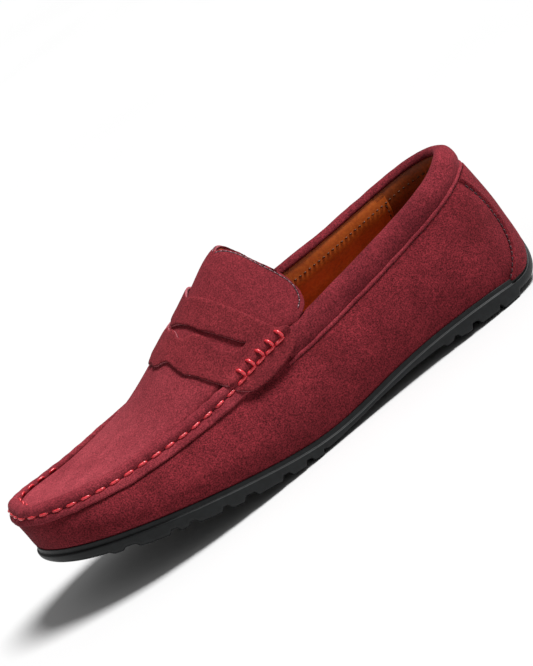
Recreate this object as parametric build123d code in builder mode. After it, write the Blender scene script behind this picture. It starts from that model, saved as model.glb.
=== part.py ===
from build123d import *
import math
import os
import numpy as np

# Left slip-on driving loafer, men's EU 42-43. Millimetres, +Z up, toe towards -X,
# lateral side towards -Y, origin on the ground below the middle of the shoe.

# ---- material thicknesses and running gaps ----
SUEDE = 1.6
LINING = 1.0
STIFFENER = 1.1
GAP = 0.3
BOARD = 1.8
SOCK = 2.2
PAD = 3.2

# ---- sole ----
RUBBER_PROUD = 1.2          # the cup's side stands this far outside the upper
LIP = 3.2                   # depth of the cup that the upper drops into
LUG_SLOPE = 1.2             # run-out of a lug's front and rear flanks
ARCH_START, ARCH_END = -9.0, 64.0
FOREFOOT_LUGS = [(-119, -114), (-107.5, -93), (-88.5, -84), (-79.5, -67.5),
                 (-63.5, -56), (-49.5, -35.5), (-30.5, -22), (-17.5, -11.5)]
HEEL_LUGS = [(68.5, 73.5), (77, 84.5), (89.5, 101), (104, 115)]
RIM = [(-147, 35.0), (-142, 34.2), (-133, 32.5), (-109, 27.5), (-76, 20.4), (-38, 12.4), (0, 7.2),
       (38, 9.9), (74, 11.7), (107, 10.6), (128.5, 14.0), (137, 20.6), (147, 29)]
GROOVE = [(-147, 28.8), (-143, 27.3), (-134, 24.9), (-124, 22.8), (-112, 20.5), (-91, 16.0), (-65, 10.4),
          (-54, 8.1), (-33, 4.5), (-19, 2.9), (-10, 2.5), (66, 4.6), (86, 4.2), (100, 3.4), (112, 2.4),
          (124, 2.2), (132, 3.2), (147, 7)]
TREAD = [(-119, 20.6), (-114, 19.5), (-104, 16.8), (-95, 14.8), (-86, 13.2), (-74, 10.3), (-58, 6.6),
         (-44, 4.0), (-37, 2.9), (-25, 1.1), (-15, 0.2), (-12, 0), (66, 3.1), (73, 3.1), (81, 1.8),
         (95, 1.1), (101, 0.9), (104, 0), (121, 0)]
ARCH = [(-9, 1.0), (0, 1.2), (12, 2.2), (24, 3.4), (36, 4.3), (48, 5.0), (64, 4.9)]
TREAD_GROOVES = (-24.0, -8.0, 8.0, 24.0)   # Y of the lengthwise tread channels
CHANNEL = 3.0                               # width of one channel

# ---- upper: stations round the shoe, from the heel's back along the lateral side
#      to the toe, and back along the medial side ----
# x, y: outline where the upper meets the rubber; rubber: height of the rubber's edge;
# inset, seam: inward set and height of the moccasin seam or collar piping; belly: bulge
STATIONS = np.array([
    [137, 0, 20.6, 3.8, 63.9, 0.3], [128.5, -20, 14.0, 5.4, 62.6, 1.0],
    [107, -31, 10.5, 5.4, 57.8, 2.5], [74, -34, 11.6, 4.5, 51.6, 3.5],
    [38, -37, 9.8, 3.6, 46.4, 4.0], [0, -42, 7.0, 3.8, 43.1, 4.0],
    [-38, -48, 12.2, 6.3, 43.2, 4.0], [-76, -49.5, 20.2, 6.8, 43.6, 4.0],
    [-109, -42, 27.3, 4.2, 45.4, 3.0], [-133, -24, 32.4, 0.0, 48.2, 1.0],
    [-142, 3, 34.2, -1.8, 50.2, 0.3], [-133, 28, 32.7, 2.2, 50.4, 1.0],
    [-109, 43, 27.7, 6.6, 48.8, 3.0], [-76, 48, 20.6, 8.4, 49.6, 4.0],
    [-38, 42, 12.6, 7.4, 52.6, 4.0], [0, 34, 7.4, 4.8, 57.0, 4.0],
    [38, 30, 10.1, 3.4, 57.8, 4.0], [74, 30, 11.8, 2.8, 59.9, 3.5],
    [107, 30, 10.6, 2.2, 62.2, 2.5], [128.5, 20, 14.0, 1.6, 63.3, 1.0]])
CREST = [(-142, 0), (-130, 0.0), (-105, 1.2), (-88, 4.4), (-70, 11.2), (-55, 20.4), (-38, 30.0),
         (-12, 42.8), (10, 51.2), (25, 47.5), (45, 42.6)]   # rise of the instep above the seams
BRIM = [(-142, 6.5), (-125, 5.6), (-112, 5.0), (-90, 4.4), (-72, 3.4), (-58, 1.8), (-44, 0.4),
        (-30, 0), (50, 0)]  # steep rise just inside the moccasin seam
BRIM_WIDTH = 2.4
ARCH_POWER = 0.8

# ---- lengths of the pieces, as shares of the way round the shoe ----
COLLAR_REACH = 0.226        # the collar runs this far each side of the heel
RIDGE_START = 0.246         # the moccasin seam runs from here to the same place medially
HEEL_LINING_REACH = 0.1145
COUNTER_REACH = 0.13
PUFF_REACH = 0.085

# ---- moccasin seam: (distance in from the seam, height) of the raised ridge ----
RIDGE = [(-0.8, -0.4), (1.3, 0.0), (2.4, 1.4), (4.0, 2.3), (5.6, 1.7), (6.8, 0.1)]
RIDGE_UNDERSIDE = [(-1.8, -1.1), (2.0, -1.3), (4.4, -1.3), (6.6, -1.3)]
LEAD = 4.0                  # the ridge's path starts this far down the wall
PLUG_EDGE = 7.3             # the apron starts this far in from the seam
STRAP = 1.4
STRAP_CLEAR = 0.4
RIDGE_CLEAR = 2.9           # extra height where the strap passes over the ridge

# ---- collar: (in from the piping line, up from it) ----
COLLAR = [(0.2, 2.2), (-0.6, 5), (-0.2, 8.5), (2.0, 12.0), (5.0, 13.6), (7.4, 12.8), (8.6, 11.2), (8.6, 9.6)]
COLLAR_SKIN = 1.2
FOAM_OUTSIDE = [(1.9, 3.2), (1.1, 5.4), (1.5, 8.0), (3.0, 10.4), (4.6, 11.6)]
FOAM_INSIDE = [(5.2, 3.2), (6.2, 5.4), (6.8, 8.6), (6.0, 11.0)]
PIPING = 0.9                # radius of the piping cord
PIPING_AT = (0.35, 0.95)

# ---- outlines seen from the side (x, z) ----
TONGUE_LATERAL = [(6, 103.6), (10, 101.6), (13.5, 96.6), (17, 88.6), (21.5, 80.6), (24.5, 73.1),
                  (23.5, 66.6), (20, 61.1), (14, 59.4)]
TONGUE_MEDIAL = [(6, 103.6), (10, 101.6), (13.5, 96.6), (17, 89.6), (21, 82.6), (23, 77.6), (21.5, 73.1),
                 (14, 71.4)]
STRAP_FRONT = [(-50, 79.6), (-48, 74.6), (-43.5, 74.6), (-43, 67.6), (-38, 63), (-32.5, 55.1)]
STRAP_REAR = [(4, 59.8), (-1.5, 71.1), (-7, 80.4), (-13, 89.6), (-17, 92.6), (-19, 97.6)]
TAB = [(-28.5, 50.1), (-26, 46.1), (-19.5, 44.3), (-4, 45.2), (6, 48.3), (9.4, 53.1), (8, 58.1)]
TAB_MEDIAL_SHIFT = 13.5     # the medial seam lies higher than the lateral one
SLOT_REAR = [(-30.5, 86.1), (-23.5, 78.6), (-13.5, 65)]
SLOT_FRONT = [(-11.5, 63.8), (-16, 63.2), (-20.5, 64.6), (-23.5, 71.6), (-26, 78.1), (-29.5, 77.6),
              (-32, 81.1)]
SLOT_MIDDLE = [(-34, 86.6), (-31.5, 93.6)]
OVERLAY_EDGE = [(121, 66), (125.5, 56), (128.4, 46), (129.4, 38), (128.4, 29.5), (125, 20.5), (119.5, 13.5)]
ABOVE_ALL = 132
MIDDLE_OFF = (3.05, 1.05)   # brings the middle of the finished shoe onto the origin

# ---- fits between the pieces ----
CUP_GAP = 0.4               # between the upper's lower edge and the cup's floor
WALL_TOP = 0.992            # share of the wall's height where the side wall's sheet ends
LINING_FOOT = -0.8          # the linings end this far below the rubber's edge
TONGUE_COVER = 1.2          # how far the lining stays back from the tongue's edge
COLLAR_SECTIONS = 33
SKIN_POINTS = 10

# ---- threads ----
HAND_THREAD = 0.6           # radius of the waxed moccasin thread
MACHINE_THREAD = 0.3
STITCH_LIFT = MACHINE_THREAD + 0.15     # of a machine stitch's middle off the face it lies on
WHIP_FOOT, WHIP_HEAD = 2.6, 8.2         # the whip stitches cross the ridge between these
WHIP_LIFT = STRAP_CLEAR + RIDGE_CLEAR + STRAP + 1.2


def periodic_spline(rows):
    """Closed cubic spline through evenly spaced rows; gives value and slope at u in 0..1."""
    count = len(rows)
    matrix = np.zeros((count, count))
    for i in range(count):
        matrix[i, i] = 4
        matrix[i, i - 1] = 1
        matrix[i, (i + 1) % count] = 1
    slopes = np.linalg.solve(matrix, 3 * (np.roll(rows, -1, 0) - np.roll(rows, 1, 0)))

    def value(u):
        place = (u % 1.0) * count
        i = int(place) % count
        j = (i + 1) % count
        t = place - int(place)
        point = ((2 * t**3 - 3 * t**2 + 1) * rows[i] + (t**3 - 2 * t**2 + t) * slopes[i]
                 + (-2 * t**3 + 3 * t**2) * rows[j] + (t**3 - t**2) * slopes[j])
        slope = ((6 * t**2 - 6 * t) * rows[i] + (3 * t**2 - 4 * t + 1) * slopes[i]
                 + (-6 * t**2 + 6 * t) * rows[j] + (3 * t**2 - 2 * t) * slopes[j])
        return point, slope

    return value


def natural_spline(points):
    """Open cubic spline z(x) with free ends."""
    xs, zs = np.array(points, float).T
    steps = np.diff(xs)
    count = len(xs)
    matrix = np.eye(count)
    right = np.zeros(count)
    for i in range(1, count - 1):
        matrix[i, i - 1:i + 2] = steps[i - 1], 2 * (steps[i - 1] + steps[i]), steps[i]
        right[i] = 3 * ((zs[i + 1] - zs[i]) / steps[i] - (zs[i] - zs[i - 1]) / steps[i - 1])
    bend = np.linalg.solve(matrix, right)
    slope = np.diff(zs) / steps - steps * (2 * bend[:-1] + bend[1:]) / 3
    twist = np.diff(bend) / (3 * steps)

    def value(x):
        i = int(np.clip(np.searchsorted(xs, x) - 1, 0, count - 2))
        t = x - xs[i]
        return zs[i] + slope[i] * t + bend[i] * t**2 + twist[i] * t**3

    return value


station = periodic_spline(STATIONS)
crest_rise = natural_spline(CREST)
brim_rise = natural_spline(BRIM)


def inward(u):
    """Unit direction, in plan, from the outline at u towards the foot."""
    slope = station(u)[1]
    length = math.hypot(slope[0], slope[1])
    return slope[1] / length, -slope[0] / length


def plan_point(u, depth):
    row, (nx, ny) = station(u)[0], inward(u)
    return row[0] + nx * depth, row[1] + ny * depth


def section_plane(u):
    """Upright plane across the wall at u: local X points at the foot, local Y is up."""
    x, y = plan_point(u, 0)
    nx, ny = inward(u)
    return Plane(origin=(x, y, 0), x_dir=(nx, ny, 0), z_dir=(ny, -nx, 0))


def in_space(u, point):
    """A section point (distance in, height) at u, as a point in space."""
    x, y = plan_point(u, point[0])
    return Vector(x, y, point[1])


def wall(u, t, depth=0.0):
    """Point on the side wall: t below 0 is inside the rubber cup, 1 is the seam."""
    _, _, rubber, inset, seam, belly = station(u)[0]
    if t < 0:
        return depth, rubber + t
    return inset * t**1.6 - belly * 4 * t * (1 - t) + depth, rubber + (seam - rubber) * t


def collar(u, across, up):
    """Point in the collar, measured from the piping line."""
    _, _, _, inset, seam, _ = station(u)[0]
    return inset + across, seam + up


def seam_line(first, last):
    points = [in_space(u, wall(u, 1)) for u in np.linspace(first, last, 200)]
    return np.array([[p.X, p.Y, p.Z] for p in points])


LATERAL_SEAM = seam_line(0.5, 0.1)
MEDIAL_SEAM = seam_line(0.5, 0.9)


def instep_height(x, y):
    """Height of the apron and tongue surface."""
    y_lateral, z_lateral = (np.interp(x, LATERAL_SEAM[:, 0], LATERAL_SEAM[:, k]) for k in (1, 2))
    y_medial, z_medial = (np.interp(x, MEDIAL_SEAM[:, 0], MEDIAL_SEAM[:, k]) for k in (1, 2))
    share = np.clip((y - y_lateral) / max(y_medial - y_lateral, 0.01), 0, 1)
    rise = crest_rise(x) * (4 * share * (1 - share)) ** ARCH_POWER
    from_seam = max(min(y - y_lateral, y_medial - y, x - LATERAL_SEAM[0, 0]), 0)
    brim = brim_rise(x) * (1 - math.exp(-from_seam / BRIM_WIDTH))
    return z_lateral * (1 - share) + z_medial * share + rise + brim


def lifted(path, distance, height):
    """Point at a distance along a path and a height off it, to its left."""
    steps = np.hypot(*np.diff(path, axis=0).T)
    along = np.concatenate([[0], np.cumsum(steps)])
    place = [np.interp(distance, along, path[:, k]) for k in (0, 1)]
    ahead, behind = ([np.interp(distance + e, along, path[:, k]) for k in (0, 1)] for e in (0.6, -0.6))
    across, up = ahead[0] - behind[0], ahead[1] - behind[1]
    length = math.hypot(across, up)
    return place[0] - up / length * height, place[1] + across / length * height


def brow(u, distance, height):
    """Section point at u: a distance in from the seam along the instep's surface
    (negative is down the wall) and a height off that surface."""
    top = wall(u, 1)
    wall_length = station(u)[0][4] - station(u)[0][2]
    path = [wall(u, 1 - LEAD * k / 4 / wall_length) for k in (4, 3, 2, 1)]
    lead = arch_length(np.array(path + [top]))
    for reach in np.linspace(0, 1, 60) ** 2 * 16:
        x, y = plan_point(u, top[0] + reach)
        path.append((top[0] + reach, float(instep_height(x, y))))
    return lifted(np.array(path), lead + distance, height)


def arch_path(x):
    """The instep surface across the shoe at x, from lateral to medial seam, as (y, z)."""
    y_lateral, y_medial = (np.interp(x, seam[:, 0], seam[:, 1]) for seam in (LATERAL_SEAM, MEDIAL_SEAM))
    shares = (1 - np.cos(np.linspace(0, math.pi, 160))) / 2
    return np.array([(y, float(instep_height(x, y))) for y in y_lateral + (y_medial - y_lateral) * shares])


def arch_length(path):
    return float(np.hypot(*np.diff(path, axis=0).T).sum())


def on_arch(x, height, side, lift):
    """Point in space on the instep at x, at a height on one side of the crest."""
    path = arch_path(x)
    top = int(np.argmax(path[:, 1]))
    half = path[:top + 1] if side < 0 else path[top:][::-1]
    y = float(np.interp(height, half[:, 1], half[:, 0]))
    along = arch_length(path[path[:, 0] <= y]) if (path[:, 0] <= y).sum() > 1 else 0.0
    y, z = lifted(path, along, lift)
    return Vector(x, y, z)


def band_face(plane, outer, inner):
    """Face on a plane between two curves that share no point."""
    with BuildSketch(plane) as sketch:
        with BuildLine():
            first = Spline(*outer)
            second = Spline(*inner)
            Line(first @ 1, second @ 1)
            Line(second @ 0, first @ 0)
        make_face()
    return sketch.sketch


def wall_sections(reach, depth, thickness, bottom, top, count=41):
    """Sections of a layer of the side wall: first and last place round the shoe, depth
    below the suede's face, thickness, lower edge (millimetres below the rubber's edge,
    or a share of the wall) and upper edge."""
    heights = sorted({bottom, *np.linspace(max(bottom, 0), top, 7).tolist()})
    return [band_face(section_plane(u), [wall(u, t, depth) for t in heights],
                      [wall(u, t, depth + thickness) for t in heights])
            for u in np.linspace(*reach, count)]


def arch_sections(xs, low, high, edge, points=9):
    """Sections across the instep between two heights off its surface; edge gives the
    distance in from the lateral and medial seams, and low and high take the
    distance from the nearer seam."""
    sections = []
    for x in xs:
        path = arch_path(x)
        length = arch_length(path)
        start, stop = edge(x, path)
        places = np.linspace(start, length - stop, points)
        plane = Plane(origin=(x, 0, 0), x_dir=(0, 1, 0), z_dir=(1, 0, 0))
        sections.append(band_face(plane, [lifted(path, d, high(min(d, length - d))) for d in places],
                                  [lifted(path, d, low(min(d, length - d))) for d in places]))
    return sections


def plan_sketch(depth, count=40):
    """The shoe's plan outline, set in by a depth."""
    with BuildSketch() as sketch:
        with BuildLine():
            Spline(*[plan_point(k / count, depth) for k in range(count)], periodic=True)
        make_face()
    return sketch.sketch


def side_sketch(lower, upper, first=-150, last=150, plane=Plane.XZ):
    """Closed XZ outline between two height functions."""
    xs = np.linspace(first, last, 24)
    with BuildSketch(plane) as sketch:
        with BuildLine():
            below = Spline(*[(x, lower(x)) for x in xs])
            above = Spline(*[(x, upper(x)) for x in xs])
            Line(below @ 0, above @ 0)
            Line(below @ 1, above @ 1)
        make_face()
    return sketch.sketch


def outline_sketch(corners):
    """Closed XZ outline with straight sides."""
    with BuildSketch(Plane.XZ) as sketch:
        with BuildLine():
            Polyline(*corners, close=True)
        make_face()
    return sketch.sketch


def stitch_row(places, radius):
    """Separate short stitches, one along each pair of points."""
    for begin, end in places:
        middle = (begin + end) / 2
        with Locations(Plane(origin=middle, z_dir=end - begin)):
            Cylinder(radius=radius, height=(end - begin).length)


def along(line, pitch, share):
    """Stitch ends at a pitch along a list of points in space."""
    path = np.array([[p.X, p.Y, p.Z] for p in line])
    steps = np.linalg.norm(np.diff(path, axis=0), axis=1)
    distance = np.concatenate([[0], np.cumsum(steps)])
    ends = []
    for k in range(int(distance[-1] / pitch)):
        pair = [(k + 0.1) * pitch, (k + 0.1 + share) * pitch]
        ends.append([Vector(*[float(np.interp(d, distance, path[:, i])) for i in range(3)]) for d in pair])
    return ends


os.makedirs("parts", exist_ok=True)


def save(part, name):
    placed = part.part.moved(Location((*MIDDLE_OFF, 0)))
    placed.label = name
    export_step(placed, f"parts/{name}.step")


# ================= sole =================
rim = natural_spline(RIM)
tread_level = natural_spline(GROOVE)
board_bottom = -LIP + 0.2
board_top = board_bottom + BOARD


def underside():
    """Corner points of the tread seen from the side, from toe to heel."""
    points = [(x, tread_level(x)) for x in (-147, -143, -137, -128)]
    arch = natural_spline(ARCH)

    def lugs(spans):
        corners = []
        for first, last in spans:
            low = [float(np.interp(x, *np.array(TREAD).T)) for x in (first, last)]
            corners += [(first - LUG_SLOPE, tread_level(first)), (first, low[0]), (last, low[1]),
                        (last + LUG_SLOPE, tread_level(last))]
        return corners

    points += lugs(FOREFOOT_LUGS)
    points += [(x, arch(x)) for x in np.linspace(ARCH_START, ARCH_END, 9)]
    points += lugs(HEEL_LUGS)
    return points + [(x, tread_level(x)) for x in (128, 134, 140, 147)]


with BuildPart() as cup_space:
    extrude(plan_sketch(-0.3), amount=60)
    extrude(side_sketch(lambda x: rim(x) - LIP, lambda x: rim(x) + 30), amount=80, both=True,
            mode=Mode.INTERSECT)

with BuildPart() as outsole:
    extrude(plan_sketch(-RUBBER_PROUD), amount=60)
    with BuildSketch(Plane.XZ):
        with BuildLine():
            edge = Spline(*[(x, rim(x)) for x in np.linspace(-147, 147, 24)])
            tread_line = Polyline(*underside())
            Line(edge @ 0, tread_line @ 0)
            Line(edge @ 1, tread_line @ 1)
        make_face()
    extrude(amount=80, both=True, mode=Mode.INTERSECT)
    add(cup_space.part, mode=Mode.SUBTRACT)
    for y in TREAD_GROOVES:
        channel_side = Plane.XZ.offset(-y - CHANNEL / 2)
        for first, last in ((-122, ARCH_START - 4), (ARCH_END + 2, 124)):
            extrude(side_sketch(lambda x: tread_level(x) - 6, tread_level, first, last, channel_side),
                    amount=CHANNEL, mode=Mode.SUBTRACT)
save(outsole, "outsole")


def bottom_layer(depth, lower, upper, first=-150):
    """A layer of the bottom: the plan outline between two heights off the rubber's edge."""
    with BuildPart() as piece:
        extrude(plan_sketch(depth), amount=60)
        extrude(side_sketch(lambda x: rim(x) + lower(x), lambda x: rim(x) + upper(x), first),
                amount=80, both=True, mode=Mode.INTERSECT)
    return piece


def pad_height(x):
    """Thickness of the heel pad, feathered out under the arch."""
    share = min(max((x - 56) / 22, 0), 1)
    return PAD * share * share * (3 - 2 * share)


pad_base = board_top + 0.2
foot_bed = SUEDE + GAP + STIFFENER + GAP + LINING + 0.4

insole_board = bottom_layer(SUEDE + 0.5, lambda x: board_bottom, lambda x: board_top)
save(insole_board, "insole_board")

heel_pad = bottom_layer(foot_bed + 2, lambda x: pad_base, lambda x: pad_base + pad_height(x), 60)
save(heel_pad, "heel_pad")

sock_liner = bottom_layer(foot_bed, lambda x: pad_base + pad_height(x) + 0.2,
                          lambda x: pad_base + pad_height(x) + 0.2 + SOCK)
save(sock_liner, "sock_liner")

# ================= upper =================
with BuildPart() as wall_upper:
    loft(wall_sections((0.003, 0.997), 0, SUEDE, -LIP + CUP_GAP, WALL_TOP, 41))
    loft([band_face(section_plane(u), [brow(u, d, h) for d, h in RIDGE],
                    [brow(u, d, h) for d, h in RIDGE_UNDERSIDE])
          for u in np.linspace(RIDGE_START, 1 - RIDGE_START, 27)])
save(wall_upper, "wall_upper")


def seam_offset(distance):
    """Edge of a piece of the instep that stays a distance in from the seam."""
    loops = []
    for sign in (1, -1):
        points = [in_space(0.5 + sign * share, brow(0.5 + sign * share, distance, 0))
                  for share in np.linspace(0, 0.31, 60)]
        loops.append(np.array([(p.X, p.Y) for p in points]))

    def edge(x, path):
        steps = np.concatenate([[0], np.cumsum(np.hypot(*np.diff(path, axis=0).T))])
        medial, lateral = (float(np.interp(x, loop[:, 0], loop[:, 1])) for loop in loops)
        start = float(np.interp(lateral, path[:, 0], steps))
        return start, steps[-1] - float(np.interp(medial, path[:, 0], steps))

    return edge


def both_sides(lateral, medial):
    """Solid bounded by one XZ outline on the lateral side and another on the medial."""
    with BuildPart() as block:
        extrude(outline_sketch(lateral), amount=80)
        extrude(outline_sketch(medial), amount=-80)
    return block.part


def tongue_block(back):
    """Everything in front of the tongue's rounded end, moved forward by back."""
    return both_sides([(-150, 20), (9, 20), (9, 59.4)] + [(x - back, z) for x, z in reversed(TONGUE_LATERAL)]
                      + [(5.9 - back, ABOVE_ALL), (-150, ABOVE_ALL)],
                      [(-150, 20), (9, 20), (9, 71.4)] + [(x - back, z) for x, z in reversed(TONGUE_MEDIAL)]
                      + [(5.9 - back, ABOVE_ALL), (-150, ABOVE_ALL)])


tongue_stations = [*np.linspace(-134.5, -40, 22), *np.linspace(-34, 27, 11)]
with BuildPart() as apron_plug:
    loft(arch_sections(tongue_stations, lambda d: -SUEDE, lambda d: 0, seam_offset(PLUG_EDGE), 11))
    add(tongue_block(0), mode=Mode.INTERSECT)
save(apron_plug, "apron_plug")

with BuildPart() as apron_lining:
    loft(arch_sections([x + 3 for x in tongue_stations], lambda d: -SUEDE - GAP - LINING,
                       lambda d: -SUEDE - GAP, seam_offset(PLUG_EDGE + 1), 11))
    add(tongue_block(TONGUE_COVER), mode=Mode.INTERSECT)
save(apron_lining, "apron_lining")


def strap_low(distance):
    """Height of the strap's underside: it steps up over the moccasin ridge."""
    share = min(max((12 - distance) / 5, 0), 1)
    return STRAP_CLEAR + RIDGE_CLEAR * share * share * (3 - 2 * share)


def strap_outline(lift, low_front, low_rear):
    """Saddle strap's outline on one side; lift raises its end tab."""
    front = [p for p in STRAP_FRONT if p[1] > low_front]
    rear = [p for p in STRAP_REAR if p[1] > low_rear]
    return front + [(x, z + lift) for x, z in TAB] + rear + [(-19, ABOVE_ALL), (-50, ABOVE_ALL)]


with BuildPart() as saddle_strap:
    loft(arch_sections(np.linspace(-54, 14, 18), strap_low, lambda d: strap_low(d) + STRAP,
                       lambda x, path: (1.2, 1.2), 15))
    add(both_sides(strap_outline(0, 51.6, 58.6), strap_outline(TAB_MEDIAL_SHIFT, 63.6, 74.6)),
        mode=Mode.INTERSECT)
    extrude(outline_sketch(SLOT_FRONT + SLOT_MIDDLE + SLOT_REAR), amount=80, both=True,
            mode=Mode.SUBTRACT)
save(saddle_strap, "saddle_strap")

with BuildPart() as heel_overlay:
    loft(wall_sections((-0.09, 0.09), -SUEDE - 0.1, 1.4, 0.04, 0.975, 25))
    behind = [(160, OVERLAY_EDGE[-1][1]), (160, OVERLAY_EDGE[0][1])]
    extrude(outline_sketch(OVERLAY_EDGE + behind), amount=80, both=True, mode=Mode.INTERSECT)
save(heel_overlay, "heel_overlay")


def collar_places():
    return np.linspace(-COLLAR_REACH, COLLAR_REACH, COLLAR_SECTIONS)


def collar_skin(u, height):
    """The collar cover's section, at a height off its outer face."""
    path = np.array([collar(u, across, up) for across, up in COLLAR])
    return [lifted(path, arch_length(path) * k / (SKIN_POINTS - 1), height) for k in range(SKIN_POINTS)]


with BuildPart() as collar_cover:
    loft([band_face(section_plane(u), collar_skin(u, 0), collar_skin(u, -COLLAR_SKIN))
          for u in collar_places()])
save(collar_cover, "collar_cover")

with BuildPart() as collar_foam:
    loft([band_face(section_plane(u), [collar(u, *p) for p in FOAM_OUTSIDE],
                    [collar(u, *p) for p in FOAM_INSIDE]) for u in collar_places()])
save(collar_foam, "collar_foam")


def piping_face(u):
    with BuildSketch(section_plane(u)) as sketch:
        with Locations(collar(u, *PIPING_AT)):
            Circle(PIPING)
    return sketch.sketch


with BuildPart() as collar_piping:
    for side in (-1, 1):        # two halves that meet at the back of the heel
        loft([piping_face(side * u) for u in np.linspace(0, COLLAR_REACH + 0.006, 21)])
save(collar_piping, "collar_piping")

# ================= linings and stiffeners =================
lining_depth = SUEDE + GAP + STIFFENER + GAP


def lining_path(u):
    """Outer face of the quarter and heel linings, from the insole up into the collar."""
    heights = (LINING_FOOT, 0, 0.15, 0.3, 0.45, 0.6, 0.75)
    return np.array([wall(u, t, lining_depth) for t in heights]
                    + [collar(u, 5.2, -1.5), collar(u, 6.6, 2.6), collar(u, 7.2, 5.4), collar(u, 7.4, 8.4)])


def lining_skin(u, height):
    path = lining_path(u)
    return [lifted(path, arch_length(path) * k / (SKIN_POINTS - 1), height) for k in range(SKIN_POINTS)]


def quarter(first, last, count):
    with BuildPart() as piece:
        loft([band_face(section_plane(u), lining_skin(u, 0), lining_skin(u, -LINING))
              for u in np.linspace(first, last, count)])
    return piece


heel_lining = quarter(-HEEL_LINING_REACH, HEEL_LINING_REACH, 17)
save(heel_lining, "heel_lining")
quarter_lining_lateral = quarter(HEEL_LINING_REACH + 0.001, 0.242, 11)
save(quarter_lining_lateral, "quarter_lining_lateral")
quarter_lining_medial = quarter(0.758, 0.999 - HEEL_LINING_REACH, 11)
save(quarter_lining_medial, "quarter_lining_medial")


def wall_layer(reach, depth, thickness, top, count):
    with BuildPart() as piece:
        loft(wall_sections(reach, depth, thickness, LINING_FOOT, top, count))
    return piece


vamp_lining = wall_layer((0.243, 0.757), lining_depth, LINING, 0.84, 27)
save(vamp_lining, "vamp_lining")
toe_puff = wall_layer((0.5 - PUFF_REACH, 0.5 + PUFF_REACH), SUEDE + GAP, STIFFENER, 0.84, 13)
save(toe_puff, "toe_puff")
heel_counter = wall_layer((-COUNTER_REACH, COUNTER_REACH), SUEDE + GAP, STIFFENER, 0.88, 17)
save(heel_counter, "heel_counter")
interlining_lateral = wall_layer((COUNTER_REACH + 0.002, 0.498 - PUFF_REACH), SUEDE + GAP, 0.9, 0.84, 17)
save(interlining_lateral, "interlining_lateral")
interlining_medial = wall_layer((0.502 + PUFF_REACH, 0.998 - COUNTER_REACH), SUEDE + GAP, 0.9, 0.84, 17)
save(interlining_medial, "interlining_medial")

# ================= threads =================
seam_thread_line = [in_space(u, brow(u, 1.0, 0.85)) for u in np.linspace(0.292, 0.708, 160)]
with BuildPart() as moc_seam_thread:
    stitch_row(along(seam_thread_line, 7.6, 0.68), HAND_THREAD)
save(moc_seam_thread, "moc_seam_thread")


def strap_stitches(side):
    """Five whip stitches over the ridge, and the short runs that join their feet."""
    pairs, feet = [], []
    for x in np.linspace(-22.5, 3.5, 5):
        path = arch_path(x)
        length = arch_length(path)
        low, high = ((d if side < 0 else length - d) for d in (WHIP_FOOT, WHIP_HEAD))
        foot, head = (Vector(x, *lifted(path, d, WHIP_LIFT)) for d in (low, high))
        pairs.append((foot, head))
        feet.append(foot)
    for first, second in zip(feet, feet[1:]):
        pairs.append((first + (second - first) * 0.3, first + (second - first) * 0.7))
    return pairs


with BuildPart() as strap_thread_lateral:
    stitch_row(strap_stitches(-1), HAND_THREAD)
save(strap_thread_lateral, "strap_thread_lateral")
with BuildPart() as strap_thread_medial:
    stitch_row(strap_stitches(1), HAND_THREAD)
save(strap_thread_medial, "strap_thread_medial")


def tongue_stitch_line(outline, side):
    """A line 3 mm inside the tongue's edge, on its surface."""
    path = np.array(outline, float)
    places = np.linspace(4, arch_length(path) - 8, 30)
    return [on_arch(*lifted(path, d, -3), side, STITCH_LIFT) for d in places]


with BuildPart() as tongue_topstitch:
    stitch_row(along(tongue_stitch_line(TONGUE_LATERAL, -1), 3.2, 0.7), MACHINE_THREAD)
    stitch_row(along(tongue_stitch_line(TONGUE_MEDIAL, 1), 3.2, 0.7), MACHINE_THREAD)
save(tongue_topstitch, "tongue_topstitch")

piping_line = [in_space(u, wall(u, 0.955, -STITCH_LIFT)) for u in np.linspace(0.07, COLLAR_REACH, 60)]
piping_line_medial = [in_space(-u, wall(-u, 0.955, -STITCH_LIFT)) for u in np.linspace(0.07, COLLAR_REACH, 60)]
with BuildPart() as piping_topstitch:
    stitch_row(along(piping_line, 3.4, 0.7), MACHINE_THREAD)
    stitch_row(along(piping_line_medial, 3.4, 0.7), MACHINE_THREAD)
save(piping_topstitch, "piping_topstitch")


def on_overlay(x, z, side):
    """Point on the heel overlay's face at x and height z, on one side of the heel."""
    places = side * np.linspace(0.015, 0.09, 80)
    points = []
    for u in places:
        rubber, seam = station(u)[0][2], station(u)[0][4]
        points.append(in_space(u, wall(u, (z - rubber) / (seam - rubber), -SUEDE - 0.1 - STITCH_LIFT)))
    return min(points, key=lambda p: abs(p.X - x))


def overlay_stitch_line(side, back):
    xs, zs = np.array(OVERLAY_EDGE).T
    heights = np.linspace(22, 56, 24)
    return [on_overlay(float(np.interp(z, zs[::-1], xs[::-1])) + back, z, side) for z in heights]


with BuildPart() as heel_overlay_topstitch:
    for side in (-1, 1):
        for back in (1.5, 3.6):
            stitch_row(along(overlay_stitch_line(-side, back), 3.2, 0.7), MACHINE_THREAD)
save(heel_overlay_topstitch, "heel_overlay_topstitch")


def lining_stitch_line(first, last):
    line = []
    for u in np.linspace(first, last, 90):
        path = lining_path(u)
        line.append(in_space(u, lifted(path, arch_length(path) - 4.2, -LINING - STITCH_LIFT)))
    return line


with BuildPart() as lining_topstitch:
    stitch_row(along(lining_stitch_line(-0.225, 0.225), 3.8, 0.6), MACHINE_THREAD)
save(lining_topstitch, "lining_topstitch")
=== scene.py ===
import math

import bpy
import numpy as np
from mathutils import Matrix, Vector, noise
from mathutils.geometry import delaunay_2d_cdt


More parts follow.
